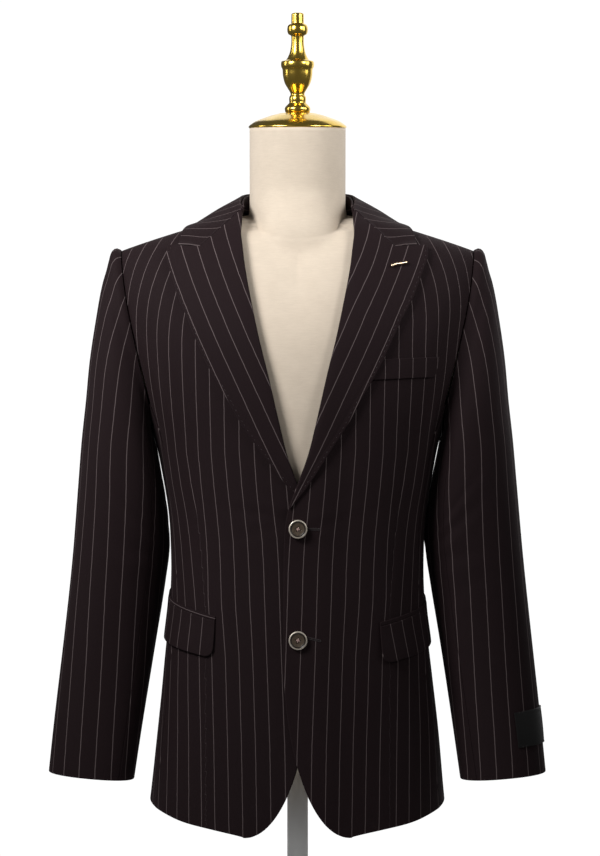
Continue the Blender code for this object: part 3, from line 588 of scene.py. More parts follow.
def arm_reach(z):
    share = np.clip((SHOULDER_FROM - z) / (SHOULDER_FROM - ARM_LOW), 0, 1)
    return ARM_REACH * (1 - share**ARM_ROUND) ** (1 / ARM_ROUND)


def arm_low(angle):
    share = np.clip(np.abs(angle - 90) / ARM_REACH, 0, 1)
    return SHOULDER_FROM - (SHOULDER_FROM - ARM_LOW) * (1 - share**ARM_ROUND) ** (1 / ARM_ROUND)


SIDE_TOP = float(arm_low(SIDE_ANGLE))


def front_edge(z):
    """Distance of the front edge from the middle: the roll line, the straight edge, then the quarter round."""
    away = np.clip((CUTAWAY_TOP - z) / (CUTAWAY_TOP - HEM[0, 1]), 0, 1)
    below = -EDGE_PAST + (EDGE_PAST + HEM_FROM) * (1 - np.sqrt(1 - away**2))
    roll = smooth(z, ROLL[:, 0], ROLL[:, 1])
    start = smooth(BREAK, ROLL[:, 0], ROLL[:, 1])
    below = below + (start + EDGE_PAST) * np.exp(-np.abs(BREAK - z) / 0.02)
    return np.where(z < BREAK, below, roll)


def overlap_lift(x, z):
    """How far the left front stands off the right one where they overlap, more where a lapel lies between."""
    lapel = np.exp(-(((z - 0.515) / 0.05) ** 2))
    return (0.0032 + 0.0036 * lapel) * (1 - ease((x - 0.022) / 0.04))


def dense(count, size, power=1.0):
    """Shares from 0 to 1 for a strip of this length in metres: even, with more lines in the turned edges."""
    edge = np.array([0, 0.00008, 0.0003, 0.0006, 0.00095, 0.0016]) / size
    inner = np.linspace(0, 1, count) ** power
    inner = inner[(inner > edge[-1] * 1.3) & (inner < 1 - edge[-1] * 1.3)]
    return np.concatenate([edge, inner, 1 - edge[::-1]])


def unit_normals(grid):
    normal = np.cross(np.gradient(grid, axis=1), np.gradient(grid, axis=0))
    return normal / np.maximum(np.linalg.norm(normal, axis=-1, keepdims=True), 1e-12)


def edge_distance(grid):
    """Distance of each point from the nearest border, measured along the grid's own lines."""
    nearest = np.full(grid.shape[:2], 1.0)
    for axis in (0, 1):
        steps = np.linalg.norm(np.diff(grid, axis=axis), axis=-1)
        run = np.cumsum(steps, axis=axis)
        start = np.concatenate([np.zeros_like(run.take([0], axis=axis)), run], axis=axis)
        nearest = np.minimum(nearest, np.minimum(start, start.take([-1], axis=axis) - start))
    return nearest


def edge_drop(distance, radius=EDGE_ROUND):
    """How far a turned edge falls away from the face: a quarter circle of this radius."""
    short = np.clip(radius - distance, 0, radius)
    return (radius - np.sqrt(radius**2 - (short * 0.985) ** 2)) * (distance < radius)


def cloth(name, grid, uv, side=1, thick=CLOTH, relief=0.0, keep=None, inner=None):
    """A closed wall of cloth from its outer face, a grid of points whose columns run round and whose rows run up.

    relief raises the outer face along its normals; both faces fall away round the turned edges. keep moves the
    inner face's points to their own side of a seam, inner gives that face outright.
    """
    normal = unit_normals(grid)
    drop = edge_drop(edge_distance(grid), min(EDGE_ROUND, thick * 0.475))[..., None]
    relief = (np.asarray(relief) + 0 * grid[..., 0])[..., None]
    outer = grid + normal * (relief - drop)
    inner = grid - normal * thick if inner is None else inner
    inner = (keep(inner) if keep else inner) + normal * (drop + np.minimum(relief, 0))
    rows, columns = grid.shape[:2]
    index = np.arange(rows * columns).reshape(rows, columns)
    face = np.stack([index[:-1, :-1], index[:-1, 1:], index[1:, 1:], index[1:, :-1]], axis=-1)
    rim = np.concatenate([index[0], index[1:, -1], index[-1, -2::-1], index[-2:0:-1, 0]])
    after = np.roll(rim, -1)
    edge = np.stack([after, rim, rim + rows * columns, after + rows * columns], axis=-1)
    quads = np.concatenate([face.reshape(-1, 4), face[..., ::-1].reshape(-1, 4) + rows * columns, edge])
    points = np.concatenate([outer.reshape(-1, 3), inner.reshape(-1, 3)])
    uv = np.concatenate([uv.reshape(-1, 2)] * 2)
    if side < 0:
        points, quads = points * np.array([-1, 1, 1]), quads[:, ::-1]
    return build(name, points, quads, uv)


def girth(angle, z, back=False):
    """Distance round the body at height z from the centre front, without the shoulder's closing."""
    turn = np.radians(np.linspace(0, 1, 181)[:, None, None] * angle)
    wave = np.sign(np.cos(turn)) * np.abs(np.cos(turn)) ** (2 / ROUND)
    deep = np.where(wave > 0, smooth(z, FIGURE[:, 0], FIGURE[:, 2]), smooth(z, FIGURE[:, 0], FIGURE[:, 3]))
    x = half_width(z) * np.sign(np.sin(turn)) * np.abs(np.sin(turn)) ** (2 / ROUND)
    steps = np.hypot(np.diff(x, axis=0), np.diff(deep * wave, axis=0))
    return steps.sum(axis=0) * np.where(angle < 0, -1, 1)


def grain(angle, z, side):
    """Cloth coordinate across the stripes: the girth, less the grain's swing towards the edge, plus what the dart
    takes up, plus the bend towards the neck that the stripes make over the shoulder."""
    run = girth(angle, z)
    x = across_at(angle, z)
    near, far, dart = (np.interp(z, SWING[:, 0], SWING[:, k]) for k in (1, 2, 3))
    beyond = ease((run - 0.02) / 0.07)
    dart_x = np.interp(z, DART[:, 0], DART[:, 1])
    swing = near + (far - near) * beyond + dart * (0.75 if side > 0 else 1.0) * (x > dart_x)
    start, rate = (0.722, 2.9) if side > 0 else (0.688, 2.3)
    bend = rate * np.clip(z - start, 0, None) ** 2 * ease(run / 0.08)
    first = 0.0003 if side > 0 else 0.0022 - 0.0032 * ease(run / 0.1)
    return run + swing + bend + first


def groove(distance, width, deep):
    """A soft furrow: -deep at its middle, falling off as a bell of this half width."""
    return -deep * np.exp(-((distance / width) ** 2))


def side_bulge(z, side):
    """How much fuller the waist hangs at the side, as a bell over its height, more on the wearer's right."""
    return (0.0022 if side < 0 else 0.0005) * np.exp(-(((z - 0.480) / 0.055) ** 2))


def front_relief(x, z, side):
    """Height of the front over its plain surface: the dart's furrow, the pull from the upper button, slack folds
    under the arm and over the pocket, and the fuller waist at the side."""
    dart_x = np.interp(z, DART[:, 0], DART[:, 1])
    on_dart = ease((z - 0.40) / 0.03) * (1 - ease((z - 0.545) / 0.035))
    relief = groove(x - dart_x, 0.0009, 0.0007) * on_dart
    relief += groove(x - dart_x, 0.006, 0.0005) * on_dart
    reach = ease((x + 0.004) / 0.02) * np.exp(-((np.maximum(x, 0) / 0.07) ** 2))
    for slope, deep, wide in ((0.16, 0.0011, 0.0055), (-0.30, 0.0007, 0.006)):
        line = 0.4895 + slope * x if side < 0 else 0.476 + slope * 1.6 * x
        relief += groove(z - line, wide, deep * (1 if side < 0 else 0.45)) * reach
        relief -= groove(z - line - 0.011, wide * 1.3, deep * 0.5) * reach
    arm = np.exp(-(((x - 0.168 - 0.10 * (z - 0.60)) / 0.011) ** 2)) * ease((z - 0.55) / 0.05)
    relief -= 0.0016 * arm * (1 - ease((z - 0.70) / 0.06))
    swell = np.exp(-(((x - 0.150 - 0.06 * (z - 0.60)) / 0.010) ** 2)) * ease((z - 0.56) / 0.05)
    relief += 0.0009 * swell * (1 - ease((z - 0.69) / 0.06))
    relief += side_bulge(z, side) * np.exp(-(((angle_at(x, z) - 90) / 30) ** 2))
    wave = np.sin((x * 34 + side * 0.6) + 5 * z) * 0.0007 + np.sin(x * 61 - 9 * z + 1.3 * side) * 0.0004
    return relief + wave * (1 - ease((z - 0.23) / 0.07)) * ease((x - 0.01) / 0.05)


def front_grid(side):
    s = dense(78, 0.2)
    start = angle_at(HEM_FROM, HEM[0, 1])
    bottom = smooth(start + (SIDE_ANGLE - start) * s, HEM[:, 0], HEM[:, 1])

    def strand(z, s):
        fold = 0.0024 * ease((z - BREAK - 0.006) / 0.03)
        inner = angle_at(front_edge(z) + fold, z)
        outer = np.where(z < SIDE_TOP, SIDE_ANGLE - 0.02, 90 - arm_reach(z) - 0.1)
        return inner + (outer - inner) * s

    def under_shoulder(z, s):
        x = across_at(strand(z, s), z)
        return z < smooth(np.abs(x), SHOULDER[:, 0], SHOULDER[:, 1])

    top = greatest(under_shoulder, s, SIDE_TOP, 0.9)
    low = dense(110, 0.49, 1.2)[:-6]
    over = np.concatenate([np.linspace(0, 1, 60)[1:-1], [0.9895, 0.9945, 0.9980, 1.0]])
    high = 1 - (1 - over) ** SHOULDER_ROUND
    lower = bottom + (SIDE_TOP - bottom) * low[:, None] / low[-1]
    z = np.concatenate([lower, SIDE_TOP + (top - SIDE_TOP) * high[:, None]])
    angle = strand(z, s)
    x = across_at(angle, z)
    lift = overlap_lift(x, z) if side > 0 else 0 * z
    uv = np.stack([grain(angle, z, side), z], axis=-1)
    return body(angle, z) - np.stack([0 * z, lift, 0 * z], axis=-1), uv, front_relief(x, z, side)


def ahead(points):
    points[..., 1] = np.minimum(points[..., 1], -SEAM / 2)
    return points


def worsted():
    """Pinstriped worsted in metres of cloth: a twill whose slanting ribs are 0.44 mm apart, mottled yarns, and every
    17.2 mm a stripe of light dots about 0.8 mm wide and 1.3 mm apart."""
    material, shader, node, calc, mix, wire, noise, bump = nodes_for("worsted")
    place = node("ShaderNodeUVMap")
    place.uv_map = "cloth"
    split = node("ShaderNodeSeparateXYZ")
    wire(place.outputs[0], split.inputs[0])
    u, v = split.outputs[0], split.outputs[1]
    weft_waver = noise(place.outputs[0], 90, 2)
    shifted = calc("MULTIPLY_ADD", calc("SUBTRACT", weft_waver, 0.5), 0.0008, u)
    from_line = calc("PINGPONG", shifted, STRIPE / 2)
    line = node("ShaderNodeMapRange", interpolation_type="SMOOTHSTEP")
    for name, value in (("From Min", 0.00018), ("From Max", 0.00058), ("To Min", 1.0), ("To Max", 0.0)):
        line.inputs[name].default_value = value
    wire(from_line, line.inputs["Value"])
    dots = calc("MULTIPLY_ADD", calc("SINE", calc("MULTIPLY", v, 2 * math.pi / 0.0013)), 0.28, 0.72)
    marked = calc("MULTIPLY", line.outputs["Result"], dots, clamp=True)
    ribs = calc("SINE", calc("MULTIPLY", calc("ADD", u, v), 2 * math.pi / 0.00062))
    yarns = calc("SINE", calc("MULTIPLY", v, 2 * math.pi / 0.00045))
    weave = calc("MULTIPLY_ADD", yarns, 0.35, ribs)
    mottle = noise(place.outputs[0], 900, 5)
    shade = calc("MULTIPLY_ADD", weave, 0.16, mottle)
    ground = mix(shade, (0.0080, 0.0042, 0.0050), (0.0240, 0.0128, 0.0146))
    wire(mix(marked, ground, (0.190, 0.150, 0.150)), shader.inputs["Base Color"])
    height = calc("MULTIPLY_ADD", marked, 1.2, weave)
    bump(height, 0.28, 0.00018)
    wire(calc("MULTIPLY_ADD", mottle, 0.16, 0.70), shader.inputs["Roughness"])
    shader.inputs["Specular IOR Level"].default_value = 0.12
    shader.inputs["Sheen Weight"].default_value = 0.05
    shader.inputs["Sheen Roughness"].default_value = 0.45
    shader.inputs["Sheen Tint"].default_value = (0.75, 0.60, 0.62, 1)
    return material


wool = worsted()


def finish(obj, node_name, material=None):
    """Gives a cloth piece its material, the worsted unless another is given, hides its solid and puts it under its
    body.
    """
    placed(obj, material or wool, node_name)


for side, hand in ((1, "left"), (-1, "right")):
    grid, uv, relief = front_grid(side)
    panel = cloth(f"forepart_{hand}", grid, uv, side, relief=relief, keep=ahead)
    finish(panel, f"front_{hand}")


# ---- Side bodies and backs ----
# Two side bodies shape the waist and two backs meet in the centre-back seam. All are of the same worsted, with
# the stripes upright, and are joined by plain pressed-open seams.


def side_grid():
    angle = SIDE_ANGLE + 0.02 + (180 - 2 * SIDE_ANGLE - 0.04) * dense(26, 0.09)
    top = arm_low(angle) - 0.0002
    bottom = smooth(angle, HEM[:, 0], HEM[:, 1])
    z = bottom + (top - bottom) * dense(110, 0.45, 1.15)[:, None]
    return body(angle + 0 * z, z), angle + 0 * z, z


def back_grid():
    s = dense(64, 0.19)
    bottom = smooth(180 - SIDE_ANGLE + SIDE_ANGLE * s, HEM[:, 0], HEM[:, 1])

    def angle_of(z, s):
        outer = np.where(z < SIDE_TOP, 180 - SIDE_ANGLE + 0.02, 90 + arm_reach(z) + 0.1)
        return outer + (180 - outer) * s

    def under_top(z, s):
        x = across_at(angle_of(z, s), z)
        neck = 0.857 + (SHOULDER[3, 1] - 0.857) * (x / 0.0705) ** 2
        return (z < smooth(x, SHOULDER[:, 0], SHOULDER[:, 1])) & ((z < neck) | (x > 0.0705))

    top = greatest(under_top, s, SIDE_TOP, 0.9)
    low = dense(110, 0.46, 1.2)[:-6]
    over = np.concatenate([np.linspace(0, 1, 60)[1:-1], [0.9895, 0.9945, 0.9980, 1.0]])
    high = 1 - (1 - over) ** SHOULDER_ROUND
    z = np.concatenate(
        [bottom + (SIDE_TOP - bottom) * low[:, None] / low[-1], SIDE_TOP + (top - SIDE_TOP) * high[:, None]]
    )
    angle = angle_of(z, s)
    return body(angle, z), angle, z


def behind(points):
    points[..., 1] = np.maximum(points[..., 1], SEAM / 2)
    points[..., 0] = np.maximum(points[..., 0], SEAM / 2)
    return points


def back_relief(x, z, side):
    """Slack of the back: long shallow folds under the shoulder blades, a break over the seat, and the hollow that
    runs down beside the armhole."""
    fold = np.exp(-(((x - 0.128 - 0.12 * (z - 0.60)) / 0.012) ** 2)) * ease((z - 0.46) / 0.09)
    relief = 0.0019 * fold * (1 - ease((z - 0.66) / 0.09))
    hollow = np.exp(-(((x - 0.150 - 0.14 * (z - 0.60)) / 0.010) ** 2)) * ease((z - 0.48) / 0.09)
    relief -= 0.0013 * hollow * (1 - ease((z - 0.67) / 0.08))
    line = 0.452 - 0.10 * x + 0.012 * np.sin(30 * x + side)
    relief += groove(z - line, 0.009, 0.0011) * ease((x - 0.01) / 0.04) * (1 - ease((x - 0.10) / 0.04))
    relief -= groove(z - line - 0.018, 0.010, 0.0008) * ease((x - 0.01) / 0.04) * (1 - ease((x - 0.11) / 0.04))
    relief += side_bulge(z, side) * np.exp(-(((angle_at(x, z) - 90) / 30) ** 2))
    return relief + 0.0006 * np.sin(38 * x + 4 * z + side) * (1 - ease((z - 0.32) / 0.1))


def side_relief(angle, z, side):
    """A slight waver down the side body, and the fuller waist."""
    waver = 0.0006 * np.sin(26 * z + side) * np.sin(np.pi * (angle - SIDE_ANGLE) / 40)
    return waver + side_bulge(z, side) * np.exp(-(((angle - 90) / 30) ** 2))


for side, hand in ((1, "left"), (-1, "right")):
    grid, angle, z = side_grid()
    uv, waver = np.stack([grain(angle, z, side), z], axis=-1), side_relief(angle, z, side)
    panel = cloth(f"side_body_{hand}", grid, uv, side, relief=waver)
    finish(panel, f"side_{hand}")
    grid, angle, z = back_grid()
    from_seam = girth(np.full_like(angle, 180.0), z) - girth(angle, z)
    taken_in = 0.006 * np.exp(-(((z - 0.46) / 0.11) ** 2)) * np.exp(-from_seam / 0.09)
    uv = np.stack([from_seam + taken_in + STRIPE / 2, z], axis=-1)
    panel = cloth(f"backpart_{hand}", grid, uv, side, relief=back_relief(grid[..., 0], z, side), keep=behind)
    finish(panel, f"back_{hand}")


# ---- Sleeves ----
# Each is a two-piece sleeve: a top sleeve over the outside of the arm and an under sleeve inside it, sewn at a fore
# seam and a hind seam. The head is eased into the armhole over a roll of wadding, so it stands up in a soft rope
# beyond the seam.

SLEEVE_OUTER = np.array(
    [  # distance from the middle, height, down the sleeve's outer side
        (0.2130, 0.8116),
        (0.2190, 0.8128),
        (0.2245, 0.8088),
        (0.2290, 0.7990),
        (0.2330, 0.7840),
        (0.2375, 0.7640),
        (0.2437, 0.7276),
        (0.2508, 0.6790),
        (0.2556, 0.6309),
        (0.2612, 0.5825),
        (0.2655, 0.5340),
        (0.2735, 0.4374),
        (0.2830, 0.3407),
        (0.2930, 0.2440),
        (0.2985, 0.1850),
    ]
)
SLEEVE_INNER = np.array(
    [  # the same down its inner side, from under the arm
        (0.1745, 0.5900),
        (0.1702, 0.5700),
        (0.1634, 0.5400),
        (0.1576, 0.5100),
        (0.1548, 0.4800),
        (0.1556, 0.4495),
        (0.1605, 0.4130),
        (0.1717, 0.3407),
        (0.1790, 0.2923),
        (0.1862, 0.2440),
        (0.1960, 0.1757),
    ]
)
SLEEVE_RINGS = np.array(
    [  # share of the length, half depth, how far back its middle lies
        (0.00, 0.055, 0.000),
        (0.08, 0.063, 0.001),
        (0.20, 0.072, 0.004),
        (0.35, 0.072, 0.008),
        (0.50, 0.066, 0.011),
        (0.65, 0.058, 0.009),
        (0.80, 0.050, 0.000),
        (1.00, 0.042, -0.018),
    ]
)
SLEEVE_ROUND = 2.2
FORE_SEAM, HIND_SEAM = 130, 242  # places of the two seams round a ring
SLEEVE_STRIPE = 0.0190  # the stripes stand a little wider here, where the cloth is eased


def path(points, t):
    """Points at shares t, from 0 to 1, of the smooth curve through the given points."""
    points = np.asarray(points, float)
    steps = np.linalg.norm(np.diff(points, axis=0), axis=1)
    along = np.concatenate([[0], np.cumsum(steps)]) / steps.sum()
    return np.stack([smooth(t, along, column) for column in points.T], axis=-1)


def ring(turn, share):
    outer = path(SLEEVE_OUTER, share)
    inner = path(SLEEVE_INNER, np.maximum(share, 0) ** 1.5)
    c, s = np.cos(np.radians(turn)), np.sin(np.radians(turn))
    along = np.sign(c) * np.abs(c) ** (2 / SLEEVE_ROUND)
    aside = np.sign(s) * np.abs(s) ** (2 / SLEEVE_ROUND)
    x, z = np.moveaxis((outer + inner) / 2 + (outer - inner) / 2 * along[..., None], -1, 0)
    half = smooth(share, SLEEVE_RINGS[:, 0], SLEEVE_RINGS[:, 1])
    middle = smooth(share, SLEEVE_RINGS[:, 0], SLEEVE_RINGS[:, 2])
    return np.stack([x, middle - half * aside, z], axis=-1)


def sleeve(turn, share):
    """The sleeve's surface: turn runs round from the outer side by the front, share down from the armhole seam."""
    turn, share = np.broadcast_arrays(np.asarray(turn, float), np.asarray(share, float))
    start = moved_out(body, *armhole(turn), 0.0006)
    fade = 1 - ease(share / 0.22)
    return ring(turn, share) + (start - ring(turn, 0 * share)) * fade[..., None]


def sleeve_grain(points, side):
    """Cloth coordinate across the sleeve: the arc round the arm's oval from the outer side to each point, the oval
    taken level, so that the stripes run on upright through the sleeve head."""
    x, y, z = np.moveaxis(points, -1, 0)
    outer = smooth(-z, -SLEEVE_OUTER[1:, 1], SLEEVE_OUTER[1:, 0])
    inner = smooth(-z, -SLEEVE_INNER[:, 1], SLEEVE_INNER[:, 0])
    half = (outer - inner) / 2
    half = half + (0.0462 - half) * ease((z - 0.50) / 0.12)
    share = np.clip((0.812 - z) / 0.632, 0, 1)
    deep = smooth(share, SLEEVE_RINGS[:, 0], SLEEVE_RINGS[:, 1])
    middle = smooth(share, SLEEVE_RINGS[:, 0], SLEEVE_RINGS[:, 2])
    turn = np.arctan2((middle - y) / deep, (x - outer + half) / half)
    turn = np.where(turn < -2.2, turn + 2 * np.pi, turn)
    sweep = np.linspace(0, 1, 49)[:, None, None] * turn
    arc = np.mean(np.hypot(half * np.sin(sweep), deep * np.cos(sweep)), axis=0) * turn
    lead = smooth(z, np.array([0.22, 0.40, 0.57, 0.75]), np.array([0.0060, 0.0050, -0.0015, -0.0040]))
    return (arc + lead) * STRIPE / SLEEVE_STRIPE + (0.004 if side > 0 else 0.008)


SLEEVE_CLEAR = 0.0017  # kept between the sleeve's inner line and the side body's; the folds take up part of it


def closing(turn, z, side):
    """How far the sleeve's inner side moves to lie along the waist above the elbow: out to it where it stands off,
    by up to 4 mm, and back from it where it comes too near, so that the two stay just clear."""
    gap = np.interp(-z, -SLEEVE_INNER[:, 1], SLEEVE_INNER[:, 0]) - half_width(z) - side_bulge(z, side)
    upper = ease((z - 0.450) / 0.014) * (1 - ease((z - 0.584) / 0.012))
    drawn_back = ease((z - 0.430) / 0.014) * (1 - ease((z - 0.596) / 0.014))
    reach = np.clip(gap - SLEEVE_CLEAR, -0.005, 0.004)
    return np.where(reach > 0, reach * upper, reach * drawn_back) * np.exp(-(((turn - 180) / 34) ** 2))


def sleeve_relief(turn, share, side):
    """The rope of the head, the hollows between it and the arm, and soft drag folds at the elbow and under it."""
    crown = ease((np.cos(np.radians(turn)) + 0.15) / 0.7)
    relief = 0.0017 * np.exp(-(((share - 0.013) / 0.011) ** 2)) * crown
    relief -= 0.0010 * np.exp(-(((share - 0.050) / 0.020) ** 2)) * crown
    fore = np.exp(-(((turn - 118) / 34) ** 2))
    for at, lean, deep, wide in (
        (0.405, 0.0011, 0.0017, 0.014),
        (0.455, 0.0006, 0.0021, 0.016),
        (0.520, -0.0004, 0.0015, 0.018),
        (0.600, 0.0003, 0.0008, 0.022),
    ):
        line = at + 0.012 * (side > 0) + lean * (turn - 118)
        relief -= 0.5 * deep * np.exp(-(((share - line) / wide) ** 2)) * fore
        relief += 0.3 * deep * np.exp(-(((share - line - 1.7 * wide) / wide) ** 2)) * fore
    hind = np.exp(-(((turn - 285) / 32) ** 2)) + np.exp(-(((turn + 75) / 32) ** 2))
    for at, lean, deep, wide in (
        (0.36, -0.0010, 0.0014, 0.017),
        (0.43, -0.0005, 0.0018, 0.019),
        (0.53, 0.0005, 0.0012, 0.020),
    ):
        line = at + lean * ((turn % 360) - 285)
        relief -= deep * np.exp(-(((share - line) / wide) ** 2)) * hind
        relief += 0.6 * deep * np.exp(-(((share - line - 1.7 * wide) / wide) ** 2)) * hind
    trough = np.exp(-(((turn - 132 - 26 * (share - 0.3)) / 9) ** 2)) * ease((share - 0.16) / 0.12)
    relief -= 0.0012 * trough * (1 - ease((share - 0.62) / 0.2))
    return relief + 0.0005 * np.sin(np.radians(turn * 3) + 9 * share + side) * ease(share / 0.3)


for side, hand in ((1, "left"), (-1, "right")):
    for name, node_name, first, last, count, flat, area in (
        ("top_sleeve", "top_sleeve", HIND_SEAM - 360, FORE_SEAM, 84, (0.66, 0.28), 0.142),
        ("under_sleeve", "under_sleeve", FORE_SEAM, HIND_SEAM, 44, (0.58, 0.11), 0.0486),
    ):
        turn = first + 0.03 + (last - first - 0.06) * dense(count, 0.12 if count < 60 else 0.24)
        share = dense(150, 0.62, 1.12)[:, None]
        grid = sleeve(turn, share)
        inner = moved_out(sleeve, turn, share, -CLOTH, dv=0.002)
        uv = np.stack([sleeve_grain(grid, side), grid[..., 2]], axis=-1)
        relief = sleeve_relief(turn + 0 * share, share + 0 * turn, side) + closing(turn, grid[..., 2], side)
        panel = cloth(f"{name}_panel_{hand}", grid, uv, side, relief=relief, inner=inner)
        finish(panel, f"{node_name}_{hand}")


# ---- Lapels ----
# Each lapel is the front's own edge folded back over it along the roll line, so it is one layer that turns in a soft
# round at the fold. It is faced with the same worsted, whose stripes lie slanted, rises to a peak beside the notch,
# and has a row of small pick stitches inside its edge.

LAPEL_EDGE = np.array(
    [  # height, distance from the middle, up the outer edge to the tip
        (0.5030, -0.0092),
        (0.5150, 0.0012),
        (0.5400, 0.0195),
        (0.5700, 0.0385),
        (0.6000, 0.0580),
        (0.6350, 0.0770),
        (0.6650, 0.0945),
        (0.7000, 0.1110),
        (0.7250, 0.1225),
        (0.7520, 0.1365),
        (0.7800, 0.1470),
        (0.8020, 0.1545),
        (0.8155, 0.1540),
    ]
)
LAPEL_BELLY = np.array(
    [  # height, how much farther out the edge of the wearer's right lapel lies
        (0.5030, 0.0000),
        (0.5400, 0.0015),
        (0.5700, 0.0055),
        (0.6000, 0.0070),
        (0.6650, 0.0082),
        (0.7000, 0.0082),
        (0.7520, 0.0045),
        (0.8020, 0.0012),
        (0.8155, 0.0000),
    ]
)
ROLL_STAND = np.array(
    [  # height, how far the upper roll line stands in front of the plane between front and back
        (0.5000, 0.0000),
        (0.7600, 0.0600),
        (0.8000, 0.0870),
        (0.8200, 0.0765),
        (0.8400, 0.0620),
        (0.8594, 0.0440),
    ]
)
ROLL_END = (0.0665, 0.8594)  # distance and height where the roll line meets the gorge seam
NOTCH = (0.1145, 0.8125)  # where the gorge seam ends and the lapel's top edge begins
LAPEL_LIFT = (0.0006, 0.0026)  # gap under the lapel at its roll line, and what its outer edge adds
LAPEL_BULGE = 0.012  # fullness of the roll
FOLD_RADIUS = 0.0023  # of the round that the cloth makes where it folds
LAPEL_GRAIN = np.array(
    [  # height, distance from the middle of one stripe up the lapel
        (0.503, 0.001),
        (0.571, 0.0355),
        (0.641, 0.0680),
        (0.711, 0.0998),
        (0.781, 0.1276),
        (0.816, 0.1390),
        (0.870, 0.1520),
    ]
)
PICK = 0.0068  # distance from one pick stitch to the next
PICK_INSIDE = 0.0036  # and from the edge


def steepness(x, z):
    """How many times farther forward than square to it the jacket's front is from a point near it."""
    step = 0.001
    aside = (depth(x + step, z) - depth(x - step, z)) / (2 * step)
    rising = (depth(x, z + step) - depth(x, z - step)) / (2 * step)
    return np.minimum(np.sqrt(1 + aside**2 + rising**2), 2.2)


def lapel(s, t, side=1):
    """The lapel's face, strung from the roll line (s = 0) over a middle line to the outer edge (s = 1), t being 0
    at its foot and 1 at the gorge. It lies on its front at a gap that swells as s(1 - s)^2 near the roll."""
    s, t = np.broadcast_arrays(np.asarray(s, float), np.asarray(t, float))
    low = LAPEL_EDGE[0, 0]
    roll_z = low + (ROLL_END[1] - low) * t
    roll_x = smooth(roll_z, ROLL[:, 0], ROLL[:, 1]) + 0.0006
    roll_x = roll_x - (0.0711 - ROLL_END[0]) * ease(t / 0.1 - 9)
    middle_z = low + (NOTCH[1] - low) * t
    middle_x = LAPEL_EDGE[0, 1] + (NOTCH[0] - LAPEL_EDGE[0, 1]) * t
    edge_z = low + (LAPEL_EDGE[-1, 0] - low) * t
    edge_x = smooth(edge_z, LAPEL_EDGE[:, 0], LAPEL_EDGE[:, 1])
    if side < 0:
        edge_x = edge_x + smooth(edge_z, LAPEL_BELLY[:, 0], LAPEL_BELLY[:, 1])
    inward, outward = np.minimum(2 * s, 1), np.maximum(2 * s - 1, 0)
    x = roll_x + (middle_x - roll_x) * inward + (edge_x - middle_x) * outward
    z = roll_z + (middle_z - roll_z) * inward + (edge_z - middle_z) * outward
    gap = LAPEL_LIFT[0] + LAPEL_LIFT[1] * s * ease(t / 0.25)
    gap = gap + LAPEL_BULGE * s * (1 - s) ** 2 * ease(t / 0.15)
    lift = (overlap_lift(x, z) if side > 0 else 0) + (CLOTH + gap) * steepness(x, z)
    lies = depth(x, z) + lift
    roll_y = smooth(roll_z, ROLL_STAND[:, 0], ROLL_STAND[:, 1])
    edge_gap = LAPEL_LIFT[0] + LAPEL_LIFT[1] * ease(t / 0.25)
    edge_y = depth(edge_x, edge_z) + (CLOTH + edge_gap) * steepness(edge_x, edge_z)
    strung = roll_y + (edge_y - roll_y) * s
    y = (lies + strung + np.sqrt((lies - strung) ** 2 + (0.0015 * (1 - s)) ** 2)) / 2
    return np.stack([x, -y, z], axis=-1)


def fold_over(last, before, normal, radius, thick, steps=9):
    """Rows of points that carry a cloth on from its last row round a half circle of this radius to its other side:
    centre + radius (cos(a) normal + sin(a) onward). Gives the outer rows and the inner ones."""
    onward = last - before
    onward -= (onward * normal).sum(axis=-1, keepdims=True) * normal
    onward /= np.linalg.norm(onward, axis=-1, keepdims=True)
    radius, thick = (np.broadcast_to(a, last.shape[:1])[:, None] for a in (radius, thick))
    angle = np.linspace(0, np.pi, steps + 1)[1:, None, None]
    way = np.cos(angle) * normal + np.sin(angle) * onward
    middle = last - radius * normal
    return middle + radius * way, middle + np.maximum(radius - thick, 0.0001) * way


def border_run(grid):
    """Length along the outer edge, the last column, from its foot."""
    steps = np.linalg.norm(np.diff(grid[:, -1], axis=0), axis=-1)
    return np.concatenate([[0], np.cumsum(steps)])


